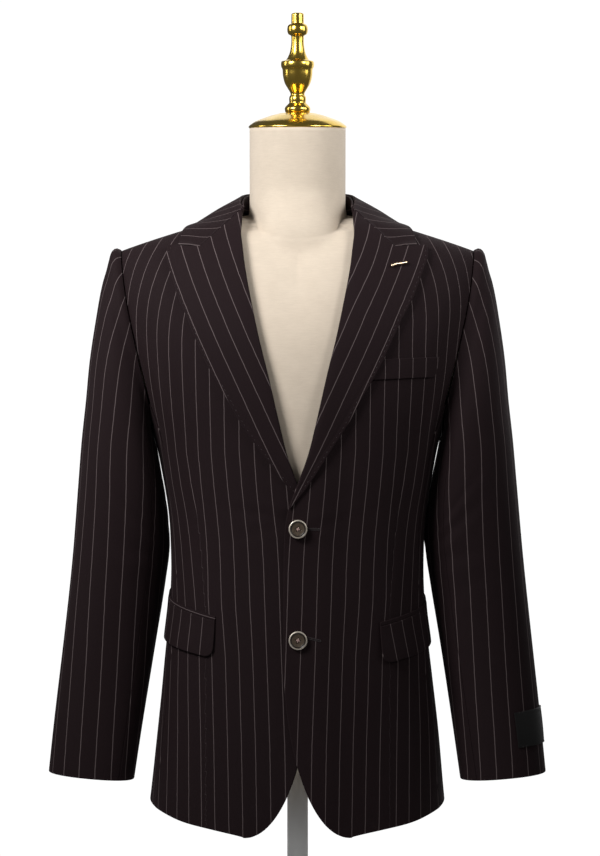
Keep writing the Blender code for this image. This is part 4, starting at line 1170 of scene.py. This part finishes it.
def lapel_parts(side):
    """The lapel's outer and inner grids with the folded round in front of the first column, and its cloth
    coordinates, counted from one slanted stripe."""
    t = dense(200, 0.36)[:, None]
    width = np.linalg.norm(lapel(1.0, t, side) - lapel(0.0, t, side), axis=-1)
    radius = 0.0010 + (FOLD_RADIUS - 0.0010) * ease(t[:, 0] / 0.12)
    start = (radius / np.maximum(width[:, 0], 0.002))[:, None] * 0.9
    s = start + (1 - start) * dense(64, 0.09)[4:]
    face = lapel(s, t, side)
    normal = unit_normals(face)
    run = border_run(face)
    from_edge = np.linalg.norm(face - face[:, -1:], axis=-1)
    beat = 0.5 + 0.5 * np.cos(2 * np.pi * run / PICK)
    relief = -0.00035 * np.exp(-(((from_edge - PICK_INSIDE) / 0.0011) ** 2)) * beat[:, None] ** 3
    relief -= 0.0003 * np.exp(-(((from_edge - 0.0075) / 0.0022) ** 2))
    face = face + normal * relief[..., None]
    thick = np.minimum(CLOTH, radius - 0.0002)
    outer, inner = fold_over(face[:, 0], face[:, 1], normal[:, 0], radius, thick)
    grid = np.concatenate([outer[::-1].transpose(1, 0, 2), face], axis=1)
    back = np.concatenate([inner[::-1].transpose(1, 0, 2), face - normal * thick[:, None, None]], axis=1)
    x, z = face[..., 0], face[..., 2]
    line = smooth(z, LAPEL_GRAIN[:, 0], LAPEL_GRAIN[:, 1])
    if side > 0:  # the wearer's left one leans more towards its top
        line = line + ease((z - 0.725) / 0.095) * (0.0022 + 0.0045 * ease((0.112 - x) / 0.03))
    across = (x - line + 0.0094) / 0.0187 if side > 0 else (x - line) / 0.0192
    steps = np.linalg.norm(np.diff(grid[:, : len(outer) + 1], axis=1), axis=-1)
    round_fold = np.cumsum(steps[:, ::-1], axis=1)
    across = np.concatenate([across[:, :1] - round_fold[:, ::-1] / 0.019, across], axis=1)
    return grid, back, np.stack([across * STRIPE, grid[..., 2] * 1.12], axis=-1)


def stitches(name, middles, alongs, outs, length, radius, colour, bow=0.35):
    """Short raised stitches: each a small bowed bar of six-sided rings, its ends sunk into the cloth."""
    middles, alongs, outs = (np.asarray(a, float) for a in (middles, alongs, outs))
    alongs = alongs / np.linalg.norm(alongs, axis=-1, keepdims=True)
    outs = outs - (outs * alongs).sum(axis=-1, keepdims=True) * alongs
    outs = outs / np.linalg.norm(outs, axis=-1, keepdims=True)
    asides = np.cross(alongs, outs)
    place = np.array([-0.5, -0.42, -0.22, 0.22, 0.42, 0.5])[:, None, None]
    swell = np.array([0.05, 0.75, 1.0, 1.0, 0.75, 0.05])[:, None, None]
    rise = radius * (1.6 * (1 - (2 * np.abs(place)) ** 2) - 1.0 + bow)
    turn = np.linspace(0, 2 * np.pi, 7)[:-1][:, None]
    points = []
    for middle, along, out, aside in zip(middles, alongs, outs, asides):
        rings = middle + along * length * place + out * rise
        points.append(rings + radius * swell * (np.cos(turn) * aside + np.sin(turn) * out))
    faces = ring_quads(6, 6)
    quads = np.concatenate([faces + 36 * i for i in range(len(points))])
    made = build(name, np.concatenate(points).reshape(-1, 3), quads)
    placed(made, colour)


def thread(name, light, dark):
    """Twisted sewing thread: its colour turns with the twist between a lighter tone, painted sheen on the plies, and
    a darker tone, painted shade between them, with a soft silky gloss.
    """
    material, shader, node, calc, mix, wire, *_ = nodes_for(name)
    place = node("ShaderNodeTexCoord").outputs["Object"]
    twist = node("ShaderNodeTexWave", wave_type="BANDS", bands_direction="DIAGONAL")
    twist.inputs["Scale"].default_value = 1400
    wire(place, twist.inputs["Vector"])
    # The lighter tone is painted sheen on the plies and the darker tone painted shade between them.
    wire(mix(twist.outputs["Fac"], dark, light), shader.inputs["Base Color"])
    wire(calc("MULTIPLY_ADD", twist.outputs["Fac"], 0.15, 0.42), shader.inputs["Roughness"])
    return material


# Dark silk thread: its lighter tone is painted sheen and its darker tone painted shade along the twist.
dark_thread = thread("dark_silk_thread", (0.060, 0.042, 0.044), (0.020, 0.013, 0.015))
for side, hand in ((1, "left"), (-1, "right")):
    grid, back, uv = lapel_parts(side)
    piece = cloth(f"lapel_face_{hand}", grid, uv, side, inner=back)
    finish(piece, f"lapel_{hand}")
    run = border_run(grid)
    at = np.arange(0.02, run[-1] - 0.004, PICK)
    row = np.array([np.interp(at, run, np.arange(len(run)))]).round().astype(int)[0]
    away = np.linalg.norm(grid[row] - grid[row, -1:], axis=-1)
    column = np.argmin(np.abs(away - PICK_INSIDE), axis=1)
    middle, along = grid[row, column], grid[np.minimum(row + 2, len(run) - 1), -1] - grid[row - 2, -1]
    out = unit_normals(grid)[row, column]
    flip = np.array([side, 1, 1])
    stitches(
        f"lapel_pick_stitches_{hand}", middle * flip, along * flip, out * flip, 0.0022, 0.00022, dark_thread, 0.5
    )


# ---- Collar ----
# The collar is cut apart from the lapels and joined to them at the slanted gorge seams. Its fall lies over the
# shoulders and turns at the fold line into a stand that is sewn to the neck of the fronts and the back.

COLLAR_FOLD = np.array(
    [  # the left half of the fold line, from the gorge to the centre back
        (0.0665, -0.0440, 0.8594),
        (0.0690, -0.0200, 0.8700),
        (0.0680, 0.0060, 0.8780),
        (0.0600, 0.0400, 0.8845),
        (0.0340, 0.0635, 0.8875),
        (0.0000, 0.0715, 0.8885),
    ]
)
COLLAR_EDGE = np.array(
    [  # the same for the outer edge, from the collar's point
        (0.1410, -0.0560, 0.8156),
        (0.1350, -0.0260, 0.8330),
        (0.1240, 0.0000, 0.8440),
        (0.1000, 0.0400, 0.8400),
        (0.0560, 0.0760, 0.8440),
        (0.0000, 0.0860, 0.8450),
    ]
)
NOTCH_SHARE = 0.68  # share of the collar's front end that the gorge seam takes
GORGE = 0.071  # how far the end of the gorge seam is from the line of the notch


def mirrored(line):
    return np.concatenate([line, line[-2::-1] * np.array([-1, 1, 1])])


def outside(points, least):
    """Points moved out of the figure's surface, |y / (deep across)|^m + rise^m = 1, to at least this far from it."""

    def field(p):
        x, y, z = np.moveaxis(p, -1, 0)
        deep = np.where(y < 0, smooth(z, FIGURE[:, 0], FIGURE[:, 2]), smooth(z, FIGURE[:, 0], FIGURE[:, 3]))
        across = np.clip(1 - np.abs(x / half_width(z)) ** ROUND, 1e-6, 1) ** (1 / ROUND)
        top = smooth(np.abs(x), SHOULDER[:, 0], SHOULDER[:, 1])
        rise = np.maximum(z - SHOULDER_FROM, 0) / (top - SHOULDER_FROM)
        return np.abs(y / (deep * across)) ** SHOULDER_ROUND + rise**SHOULDER_ROUND - 1

    for _ in range(6):
        here = field(points)
        steps = [field(points + step) - field(points - step) for step in 0.0005 * np.eye(3)]
        slope = np.stack(steps, axis=-1) / 0.001
        size = np.linalg.norm(slope, axis=-1)
        short = np.clip(least - here / size, 0, 0.01)
        points = points + slope / size[..., None] * short[..., None]
    return points


def fall(along, up):
    """The left half of the fall, strung from its outer edge (up = 0) to the fold (up = 1), bowed out between them
    as a sine, and drawn to the gorge seam at its front end (along = 0)."""
    fold, edge = path(mirrored(COLLAR_FOLD), along), path(mirrored(COLLAR_EDGE), along)
    strung = edge + (fold - edge) * up[..., None]
    away = np.array([1, 1, 0]) * strung / np.linalg.norm(strung[..., :2], axis=-1, keepdims=True)
    strung = strung + 0.0035 * np.sin(np.pi * up)[..., None] * away
    share = 1 - up[:, 0]
    past = (share - NOTCH_SHARE) / (1 - NOTCH_SHARE)
    at = np.where(share < NOTCH_SHARE, 0.5 * share / NOTCH_SHARE, 0.5 + 0.335 * past)
    apart = np.array([0.0003, 0, 0.0003]) + np.array([0.0004, 0, 0.0014]) * ease(past / 0.5)[:, None]
    seam = lapel(at, 1.0) + apart
    strung = strung + (seam[:, None] - strung[:, :1]) * (1 - ease(along / 0.16))[:, None]
    return outside(strung, CLOTH + 0.0022)


def both_halves(grid, flip=(-1, 1, 1)):
    return np.concatenate([grid, grid[:, -2::-1] * np.array(flip)], axis=1)


def collar_parts():
    """The fall's outer and inner grids, carried on round the fold, and its cloth coordinates. The stripes are
    counted from the notch edge: each meets a lapel stripe at the gorge seam and crosses to the outer edge, and
    they turn with the collar until they stand upright at the centre back, where they meet the back's stripes."""
    along = np.concatenate([[0, 0.0004, 0.0012, 0.0025, 0.004], np.linspace(0.006, 0.5, 84)])
    fold, edge = path(mirrored(COLLAR_FOLD), along), path(mirrored(COLLAR_EDGE), along)
    height = np.linalg.norm(fold - edge, axis=-1)
    up = dense(40, 0.06)[:-5, None] * (1 - 0.9 * FOLD_RADIUS / height) / dense(40, 0.06)[-6]
    face = fall(along, up)
    normal = unit_normals(face)
    outer, inner = fold_over(face[-1], face[-2], normal[-1], FOLD_RADIUS, CLOTH)
    grid = both_halves(np.concatenate([face, outer]))
    back = both_halves(np.concatenate([face - normal * CLOTH, inner]))
    border = np.concatenate([[0], np.linalg.norm(np.diff(face[0], axis=0), axis=-1).cumsum()])
    whole = (np.round(border[-1] / STRIPE - 0.5) + 0.5) * STRIPE
    level = np.maximum(up - (1 - NOTCH_SHARE), 0) / NOTCH_SHARE
    level = level + (up - level) * ease(along / 0.16)
    across = border * whole / border[-1] + GORGE * level * (1 - 2 * along)
    over = np.linspace(0, np.pi, 10)[1:, None] * FOLD_RADIUS
    across = np.concatenate([across, across[-1:] + over * (1 - 2 * along)])
    rise = np.concatenate([up * height, (up * height)[-1:] + over])
    return grid, back, both_halves(np.stack([across, rise], axis=-1), flip=1)


def stand_half():
    """The left half of the stand, its rows running up from the neck seam to just under the fold."""
    along = np.linspace(0.03, 0.5, 70)
    fold = path(mirrored(COLLAR_FOLD), along)
    inward = np.array([1, 1, 0]) * fold / np.linalg.norm(fold[:, :2], axis=-1, keepdims=True)
    down = 0.0008 + 0.0016 * ease((along - 0.03) / 0.1)
    top = fold - 0.0027 * inward - np.array([0, 0, 1]) * down[:, None]
    front = np.array([(smooth(z, ROLL[:, 0], ROLL[:, 1]), z) for z in np.linspace(0.842, 0.8575, 5)])
    x = np.concatenate([front[:, 0], np.linspace(0.0705, 0, 9)[1:]])
    neck = 0.857 + (SHOULDER[3, 1] - 0.857) * (x[5:] / 0.0705) ** 2
    z = np.concatenate([front[:, 1], neck])
    y = np.concatenate([-depth(x[:5], z[:5]), depth(x[5:], z[5:], back=True)])
    seam = np.stack([x, y, z], axis=-1)
    foot = path(mirrored(seam), np.linspace(0, 0.5, 70)) + np.array([0, 0, 0.0006])
    return foot + (top - foot) * dense(8, 0.02)[:, None, None]


grid, back, uv = collar_parts()
piece = cloth("collar_fall", grid, uv, inner=back)
finish(piece, "collar")
grid = both_halves(stand_half())
uv = np.stack([grid[..., 2] - 0.003, np.arctan2(grid[..., 0], grid[..., 1]) * 0.07], axis=-1)
piece = cloth("collar_stand_band", grid, uv)
finish(piece, "collar_stand")


# ---- Pockets ----
# Two slanted hip pockets, each with a narrow jetting over a flap whose lower corners are rounded, and a breast welt
# on the wearer's left. All are cut from the same worsted and sewn to the fronts along the pocket's mouth.

FLAP_START = 0.0965  # distance of a flap's inner end from the middle
FLAP_LENGTH = 0.145  # measured round the body
FLAP_SLOPE = 0.22  # how the pocket line rises towards the side
FLAP_TOP = (0.3634, 0.3704)  # height of the pocket line at its inner end, on the wearer's left and right
FLAP_DEPTH = (0.044, 0.049)  # at the inner and the outer end
FLAP_CORNER = 0.012
JETTING = 0.005  # height of the jetting over the flap
LIES = 0.0004  # gap under a pocket piece
WELT = ((0.0805, 0.6525), (0.1610, 0.6570), (0.1675, 0.6807), (0.0820, 0.6765))  # corners, inner foot first


def round_from(x, z):
    """A function from the distance round the body at height z, starting at x, to the angle there."""
    angle = np.linspace(angle_at(x, z), 150, 400)
    points = body(angle, np.full(400, z))
    run = np.concatenate([[0], np.cumsum(np.linalg.norm(np.diff(points, axis=0), axis=1))])
    return lambda distance: np.interp(distance, run, angle)


def laid(name, side, angle, z, thick, uv, slack=0.0):
    """A wall of cloth lying on the front and the side body, following their relief, with its own slack added."""
    angle, z = np.broadcast_arrays(angle, z)
    on_front = front_relief(across_at(angle, z), z, side)
    under = np.where(angle < SIDE_ANGLE, on_front, side_relief(angle, z, side))
    outer = moved_out(body, angle, z, LIES + thick + under + slack)
    return cloth(name, outer, uv, side, thick, inner=moved_out(body, angle, z, LIES + under + slack * 0.8))


for side, hand, top in ((1, "left", FLAP_TOP[0]), (-1, "right", FLAP_TOP[1])):
    distance = FLAP_LENGTH * dense(110, FLAP_LENGTH)
    angle = round_from(FLAP_START, top)(distance)
    line = top + FLAP_SLOPE * distance
    from_end = np.minimum(distance, FLAP_LENGTH - distance)
    corner = np.clip(1 - from_end / FLAP_CORNER, 0, 1)
    deep = FLAP_DEPTH[0] + (FLAP_DEPTH[1] - FLAP_DEPTH[0]) * distance / FLAP_LENGTH
    deep = deep - FLAP_CORNER * (1 - np.sqrt(1 - (corner * 0.995) ** 2))
    fallen = (1 - dense(34, 0.045))[:, None]
    z = line - deep * fallen
    across = distance * (1.03 if side > 0 else 1.0) + 0 * z
    lean = (line - z) * (0.10 if side > 0 else 0.0)
    uv = np.stack([across - lean + (0.0035 if side > 0 else 0.001), z], axis=-1)
    slack = (0.0017 + 0.0007 * np.sin(distance * 46 + side)) * ease(fallen)
    flap = laid(f"pocket_flap_{hand}", side, angle, z, CLOTH, uv, slack)
    finish(flap, f"flap_{hand}")
    z = line + 0.0001 + JETTING * dense(6, JETTING)[:, None]
    uv = np.stack([(z - line) - JETTING / 2 + (0.0085 if side > 0 else 0), distance + 0 * z], axis=-1)
    jetting = laid(f"pocket_jetting_{hand}", side, angle, z, 0.0014, uv)
    finish(jetting, f"jetting_{hand}")

foot_in, foot_out, top_out, top_in = np.array(WELT)
s, t = dense(60, 0.085)[:, None], dense(20, 0.024)[:, None, None]
foot, head = foot_in + (foot_out - foot_in) * s, top_in + (top_out - top_in) * s
x, z = np.moveaxis(foot + (head - foot) * t, -1, 0)
angle = angle_at(x, z)
welt = laid("breast_pocket_welt", 1, angle, z, 0.0016, np.stack([grain(angle, z, 1), z], axis=-1))
finish(welt, "breast_welt")


# ---- Buttons and buttonholes ----
# Two buttons of dark mottled horn with a bronze rim round a dished middle. Each is sewn on crosswise through four
# holes, over a short wound shank, and passes through a worked buttonhole that shows beside it.

BUTTON_X = 0.0005
BUTTONS = (("upper", 0.479, 0.0011), ("lower", 0.349, 0.0004))  # name, height, gap behind the button
BUTTON = np.array(
    [  # radius and height over the button's back, from its middle down its outer side
        (0.0000, 0.0031),
        (0.0045, 0.0032),
        (0.0068, 0.0036),
        (0.0077, 0.0040),
        (0.0083, 0.0038),
        (0.0088, 0.0043),
        (0.0096, 0.0047),
        (0.0105, 0.0044),
        (0.0110, 0.0034),
        (0.0110, 0.0022),
        (0.0104, 0.0010),
        (0.0094, 0.0001),
        (0.0050, 0.0000),
        (0.0000, 0.0000),
    ]
)
HOLE_RADIUS, HOLE_REACH = 0.0011, 0.0025  # of each hole, and from the middle to it
CROSS_TURN = math.radians(-14)


def front_face(x, z, side=1):
    """The outer face of a front at a place across and up: the figure's depth, the overlap's lift and the relief."""
    lift = overlap_lift(x, z) if side > 0 else 0
    return np.stack([x, -(depth(x, z) + lift + front_relief(x, z, side)), z], axis=-1)


def button_points():
    """Rings round the button's axis; the four holes are wells pressed into the dish, straight down its axis."""
    inner = np.linspace(0.00002, 0.0036, 30)
    outer = chamfered(BUTTON, 0.3)
    front = outer[: int(np.argmax(outer[:, 0] >= 0.0109)) + 1]
    rest = outer[len(front) :]
    dish = np.stack([inner, np.interp(inner, front[:, 0], front[:, 1])], axis=-1)
    profile = np.concatenate([dish, front[front[:, 0] > 0.0037], rest])
    profile[-1, 0] = 0.00002
    turn = np.linspace(0, 2 * np.pi, 97)[:-1]
    x, z = profile[:, :1] * np.cos(turn), profile[:, :1] * np.sin(turn)
    height = profile[:, 1:] + 0 * x
    for quarter in range(4):
        angle = CROSS_TURN + quarter * np.pi / 2
        away = np.hypot(x - HOLE_REACH * np.cos(angle), z - HOLE_REACH * np.sin(angle))
        well = 1 - ease((away - HOLE_RADIUS + 0.0002) / 0.0003)
        height -= 0.0022 * well * (np.arange(len(profile))[:, None] < 30)
    return np.stack([x, -height, z], axis=-1), profile[:, :1] + 0 * x


RIM_FROM = 0.0093  # radius where the bronze rim starts
GROOVE, GROOVE_HALF = 0.0082, 0.0008  # radius of the groove inside it, darkened as painted shade, and half that band's width


def horn():
    """Dark brown mottled horn, polished, with painted shade in its groove and a worn bronze rim outside a radius of
    9.3 mm.
    """
    material, shader, node, calc, mix, wire, noise, bump = nodes_for("horn_with_bronze_rim")
    radius = node("ShaderNodeUVMap", uv_map="cloth")
    split = node("ShaderNodeSeparateXYZ")
    wire(radius.outputs[0], split.inputs[0])
    place = node("ShaderNodeTexCoord").outputs["Object"]
    mottle = noise(place, 420, 4)
    brown = mix(mottle, (0.032, 0.023, 0.015), (0.145, 0.106, 0.073))
    bronze = mix(mottle, (0.58, 0.50, 0.40), (0.94, 0.86, 0.75))
    on_rim = calc("MULTIPLY", calc("SUBTRACT", split.outputs[0], RIM_FROM), 4000.0, clamp=True)
    # The groove's band is darkened almost to black: painted shade in the recess.
    groove_painted_shade = calc("COMPARE", split.outputs[0], GROOVE, GROOVE_HALF)
    with_groove_shade = mix(calc("MULTIPLY", groove_painted_shade, 0.8), mix(on_rim, brown, bronze), (0.008, 0.006, 0.005))
    wire(with_groove_shade, shader.inputs["Base Color"])
    wire(calc("MULTIPLY", on_rim, 0.55), shader.inputs["Metallic"])
    wire(calc("MULTIPLY_ADD", mottle, 0.2, 0.26), shader.inputs["Roughness"])
    bump(mottle, 0.2, 0.0002)
    return material


mottled_horn = horn()
# Pink cotton and dark twist: in each pair of tones the lighter is painted sheen and the darker painted shade along
# the twist.
pink_thread = thread("pink_cotton_thread", (0.72, 0.50, 0.45), (0.38, 0.24, 0.21))
hole_thread = thread("buttonhole_twist", (0.036, 0.024, 0.026), (0.010, 0.006, 0.007))
for name, height, gap in BUTTONS:
    back = front_face(np.array(BUTTON_X), np.array(height))[1] - gap
    points, radius = button_points()
    points = points + np.array([BUTTON_X, back, height])
    uv = np.stack([radius, 0 * radius], axis=-1)
    rows, columns = points.shape[:2]
    quads = ring_quads(rows, columns)[:, ::-1]
    button = build(f"horn_button_{name}", points.reshape(-1, 3), quads, uv.reshape(-1, 2))
    placed(button, mottled_horn, f"button_{name}")
    middles, alongs = [], []
    for quarter in (0, 1):
        angle = CROSS_TURN + quarter * np.pi / 2
        along = np.array([np.cos(angle), 0, np.sin(angle)])
        aside = np.array([-np.sin(angle), 0, np.cos(angle)])
        for strand in (-1, 0, 1):
            up = 0.0034 + 0.00022 * quarter + 0.0001 * (strand == 0)
            middles.append(np.array([BUTTON_X, back - up, height]) + aside * strand * 0.00036)
            alongs.append(along)
    outs = np.array([[0, -1, 0]] * 6)
    length = 2 * HOLE_REACH + 0.0004
    stitches(f"button_cross_{name}", middles, alongs, outs, length, 0.00027, pink_thread, 0.4)
    shank = np.array([(0, gap * 0.98), (0.0017, gap * 0.98), (0.0015, gap * 0.5), (0.0017, 0), (0, 0)])
    wound = turned(f"button_shank_{name}", shank, 24)
    tipped(wound, math.radians(90), (BUTTON_X, back + gap, height))
    placed(wound, pink_thread)


# Each buttonhole's line: inner end and outer end, distance from the middle and height.
HOLE_LINES = (("upper", (-0.0015, 0.4795), (0.0248, 0.4785)), ("lower", (0.0000, 0.3540), (0.0262, 0.3484)))
for name, first, last in HOLE_LINES:
    t = np.linspace(0, 1, 62)
    first, last = np.array(first), np.array(last)
    way = (last - first) / np.linalg.norm(last - first)
    slit = first + (last - first) * t[:, None]
    middles, alongs, outs = [], [], []
    for upper in (-1, 1):
        for at in slit:
            place = at + upper * 0.00085 * np.array([-way[1], way[0]])
            middles.append(front_face(place[0], place[1]))
            alongs.append(np.array([-way[1], 0.0, way[0]]) * upper)
            outs.append(np.array([0.0, -1.0, 0.0]))
    for turn in np.linspace(-80, 80, 9):
        c, s = math.cos(math.radians(turn)), math.sin(math.radians(turn))
        ray = way * c + np.array([-way[1], way[0]]) * s
        place = last + ray * 0.00085
        middles.append(front_face(place[0], place[1]))
        alongs.append(np.array([ray[0], 0.0, ray[1]]))
        outs.append(np.array([0.0, -1.0, 0.0]))
    stitches(f"buttonhole_stitches_{name}", middles, alongs, outs, 0.0016, 0.00021, hole_thread, 0.9)


# ---- Lapel bar ----
# A short gilt bar with one end bent down is pinned through the wearer's left lapel, just under the notch.

BAR = ((0.1123, 0.7862), (0.1110, 0.7880), (0.1130, 0.7889), (0.1210, 0.7905), (0.1292, 0.7922))
BAR_RADIUS = 0.0019


def lapel_front(x, z):
    """How far forward the wearer's left lapel is at a place across and up, from the nearest of its points."""
    grid = lapel(np.linspace(0, 1, 160), np.linspace(0, 1, 260)[:, None])
    nearest = np.argmin((grid[..., 0] - x) ** 2 + (grid[..., 2] - z) ** 2)
    return grid.reshape(-1, 3)[nearest, 1]


def rod(name, line, radius, around=20):
    """A round bar: circles square to a path, drawn in by a quarter circle to a pinhole at both ends."""
    along = np.gradient(line, axis=0)
    along /= np.linalg.norm(along, axis=1, keepdims=True)
    first = np.cross(along, (0, 1, 0))
    first /= np.linalg.norm(first, axis=1, keepdims=True)
    second = np.cross(along, first)
    run = np.concatenate([[0], np.cumsum(np.linalg.norm(np.diff(line, axis=0), axis=1))])
    end = np.clip(np.minimum(run, run[-1] - run) / radius, 0.0, 1)
    size = radius * np.sqrt(1 - (1 - end) ** 2) + PINHOLE
    turn = np.linspace(0, 2 * np.pi, around + 1)[:-1, None, None]
    rings = line + size[:, None] * (np.cos(turn) * first + np.sin(turn) * second)
    return build(name, rings.transpose(1, 0, 2).reshape(-1, 3), ring_quads(len(line), around)[:, ::-1])


rose_gilt = polished_gilt("rose_gilt", (0.86, 0.68, 0.50), (0.62, 0.44, 0.29))
corners = [(x, lapel_front(x, z) - BAR_RADIUS - 0.0004, z) for x, z in BAR]
bar = rod("lapel_bar_gilt", path(corners, 0.5 - 0.5 * np.cos(np.linspace(0, np.pi, 60))), BAR_RADIUS)
placed(bar, rose_gilt, "lapel_bar")


# ---- Sleeve label ----
# A bare woven label of black satin lies round the wearer's left cuff and is tacked down at its four corners.

LABEL_TURNS, LABEL_SHARES = (-8, 71), (0.879, 0.945)  # the label's place round and down the sleeve


def satin():
    """Black satin: fine level ribs 0.25 mm apart, and long glossy floats that run the same way."""
    material, shader, node, calc, mix, wire, noise, bump = nodes_for("black_satin")
    place = node("ShaderNodeUVMap", uv_map="cloth")
    split = node("ShaderNodeSeparateXYZ")
    wire(place.outputs[0], split.inputs[0])
    ribs = calc("SINE", calc("MULTIPLY", split.outputs[1], 2 * math.pi / 0.00025))
    squeeze = node("ShaderNodeMapping")
    squeeze.inputs["Scale"].default_value = (0.15, 1.6, 1)
    wire(place.outputs[0], squeeze.inputs["Vector"])
    floats = noise(squeeze.outputs[0], 260, 4)
    woven = calc("MULTIPLY_ADD", ribs, 0.15, floats, clamp=True)
    wire(mix(woven, (0.002, 0.002, 0.002), (0.009, 0.008, 0.008)), shader.inputs["Base Color"])
    wire(calc("MULTIPLY_ADD", floats, 0.25, 0.38), shader.inputs["Roughness"])
    shader.inputs["Specular IOR Level"].default_value = 0.3
    bump(ribs, 0.2, 0.0001)
    return material


turn = LABEL_TURNS[0] + (LABEL_TURNS[1] - LABEL_TURNS[0]) * dense(60, 0.05)
share = (LABEL_SHARES[0] + (LABEL_SHARES[1] - LABEL_SHARES[0]) * dense(44, 0.046))[:, None]
under = sleeve_relief(turn + 0 * share, share + 0 * turn, 1)
across, down = ((a - low) / (high - low) for a, (low, high) in ((turn, LABEL_TURNS), (share, LABEL_SHARES)))
lift = 0.0006 * np.sin(across * np.pi) + 0.0004 * np.sin(down * np.pi)
outer = moved_out(sleeve, turn, share, 0.0014 + under + lift, dv=0.002)
inner = moved_out(sleeve, turn, share, 0.0004 + under + lift, dv=0.002)
run = np.linalg.norm(np.diff(outer, axis=1), axis=-1).cumsum(axis=1)
run = np.concatenate([np.zeros((len(outer), 1)), run], axis=1)
label = cloth("cuff_label", outer, np.stack([run, outer[..., 2]], axis=-1), 1, 0.001, inner=inner)
finish(label, "sleeve_label", material=satin())
rows = np.array([3, 3, -4, -4, 3, 3, -4, -4])
columns = np.array([8, 12, 8, 12, -9, -13, -9, -13])
corner = outer[rows, columns]
alongs = outer[rows - 1, columns] - outer[rows + 1, columns]
outs = unit_normals(outer)[rows, columns]
stitches("label_tacks", corner, alongs, outs, 0.0026, 0.0002, dark_thread, 0.6)


# ---- Floor, light and camera ----
# A round pale floor under a high key lamp from the front left, a weaker one from the right, a large one behind and a
# strip on each side, seen straight from the front with a long lens.

turn = np.linspace(0, 2 * np.pi, 129)[:-1]
FLOOR_RADIUS, FLOOR_DROP = 0.44, 0.0004  # and how far the floor lies under the base
rim = np.stack([FLOOR_RADIUS * np.cos(turn), FLOOR_RADIUS * np.sin(turn), 0 * turn - FLOOR_DROP], axis=-1)
rings = rim * np.array([[[1, 1, 1]], [[0.5, 0.5, 1]], [[1e-4, 1e-4, 1]]])
floor = build("floor", rings.reshape(-1, 3), ring_quads(3, 128))
material, shader, *_ = nodes_for("pale_floor")
shader.inputs["Base Color"].default_value = (0.82, 0.82, 0.82, 1)
shader.inputs["Roughness"].default_value = 0.85
floor.data.materials.append(material)

# The room gives a weak even light; the white sweep behind the object is seen but adds no more.
world = bpy.data.worlds.new("studio")
world.use_nodes = True
tree = world.node_tree
weak = tree.nodes["Background"]
weak.inputs["Color"].default_value = (1, 1, 1, 1)
weak.inputs["Strength"].default_value = 0.10
white_sweep = tree.nodes.new("ShaderNodeBackground")
white_sweep.inputs["Strength"].default_value = 1.05
white_sweep.inputs["Color"].default_value = (1, 1, 1, 1)
seen = tree.nodes.new("ShaderNodeLightPath")
choice = tree.nodes.new("ShaderNodeMixShader")
tree.links.new(seen.outputs["Is Camera Ray"], choice.inputs[0])
tree.links.new(weak.outputs[0], choice.inputs[1])
tree.links.new(white_sweep.outputs[0], choice.inputs[2])
tree.links.new(choice.outputs[0], tree.nodes["World Output"].inputs[0])
bpy.context.scene.world = world


def softbox(name, place, target, size, power, beam=180):
    """A lamp of a width and height at place, facing target, its light held in a beam of that many degrees."""
    lamp = bpy.data.lights.new(name, "AREA")
    lamp.shape, lamp.energy = "RECTANGLE", power
    lamp.size, lamp.size_y = size
    lamp.spread = math.radians(beam)
    obj = bpy.data.objects.new(name, lamp)
    obj.location = place
    obj.rotation_euler = (Vector(target) - Vector(place)).to_track_quat("-Z", "Y").to_euler()
    bpy.context.scene.collection.objects.link(obj)


softbox("key", (-0.95, -0.95, 1.45), (-0.05, 0, 0.78), (0.6, 0.6), 5.5, 90)
softbox("fill", (0.85, -0.85, 1.35), (0.02, 0, 1.02), (0.4, 0.4), 0.75, 56)
softbox("rear", (0.9, 1.9, 1.6), (0, 0, 0.6), (2.8, 2.8), 27)
softbox("right_strip", (1.5, -0.45, 1.35), (0, 0, 1.05), (0.6, 0.9), 1.1, 70)
softbox("left_strip", (-1.5, 0.1, 1.35), (0, 0, 1.05), (0.25, 0.9), 0.6, 70)

camera = bpy.data.objects.new("camera", bpy.data.cameras.new("camera"))
camera.data.lens = 107.8
camera.data.shift_x = 0.0028
camera.location = (0, -3.1, 0.597)
camera.rotation_euler = (math.radians(90), 0, 0)
bpy.context.scene.collection.objects.link(camera)
bpy.context.scene.camera = camera
bpy.context.scene.view_settings.view_transform = "Standard"
bpy.context.scene.view_settings.look = "None"
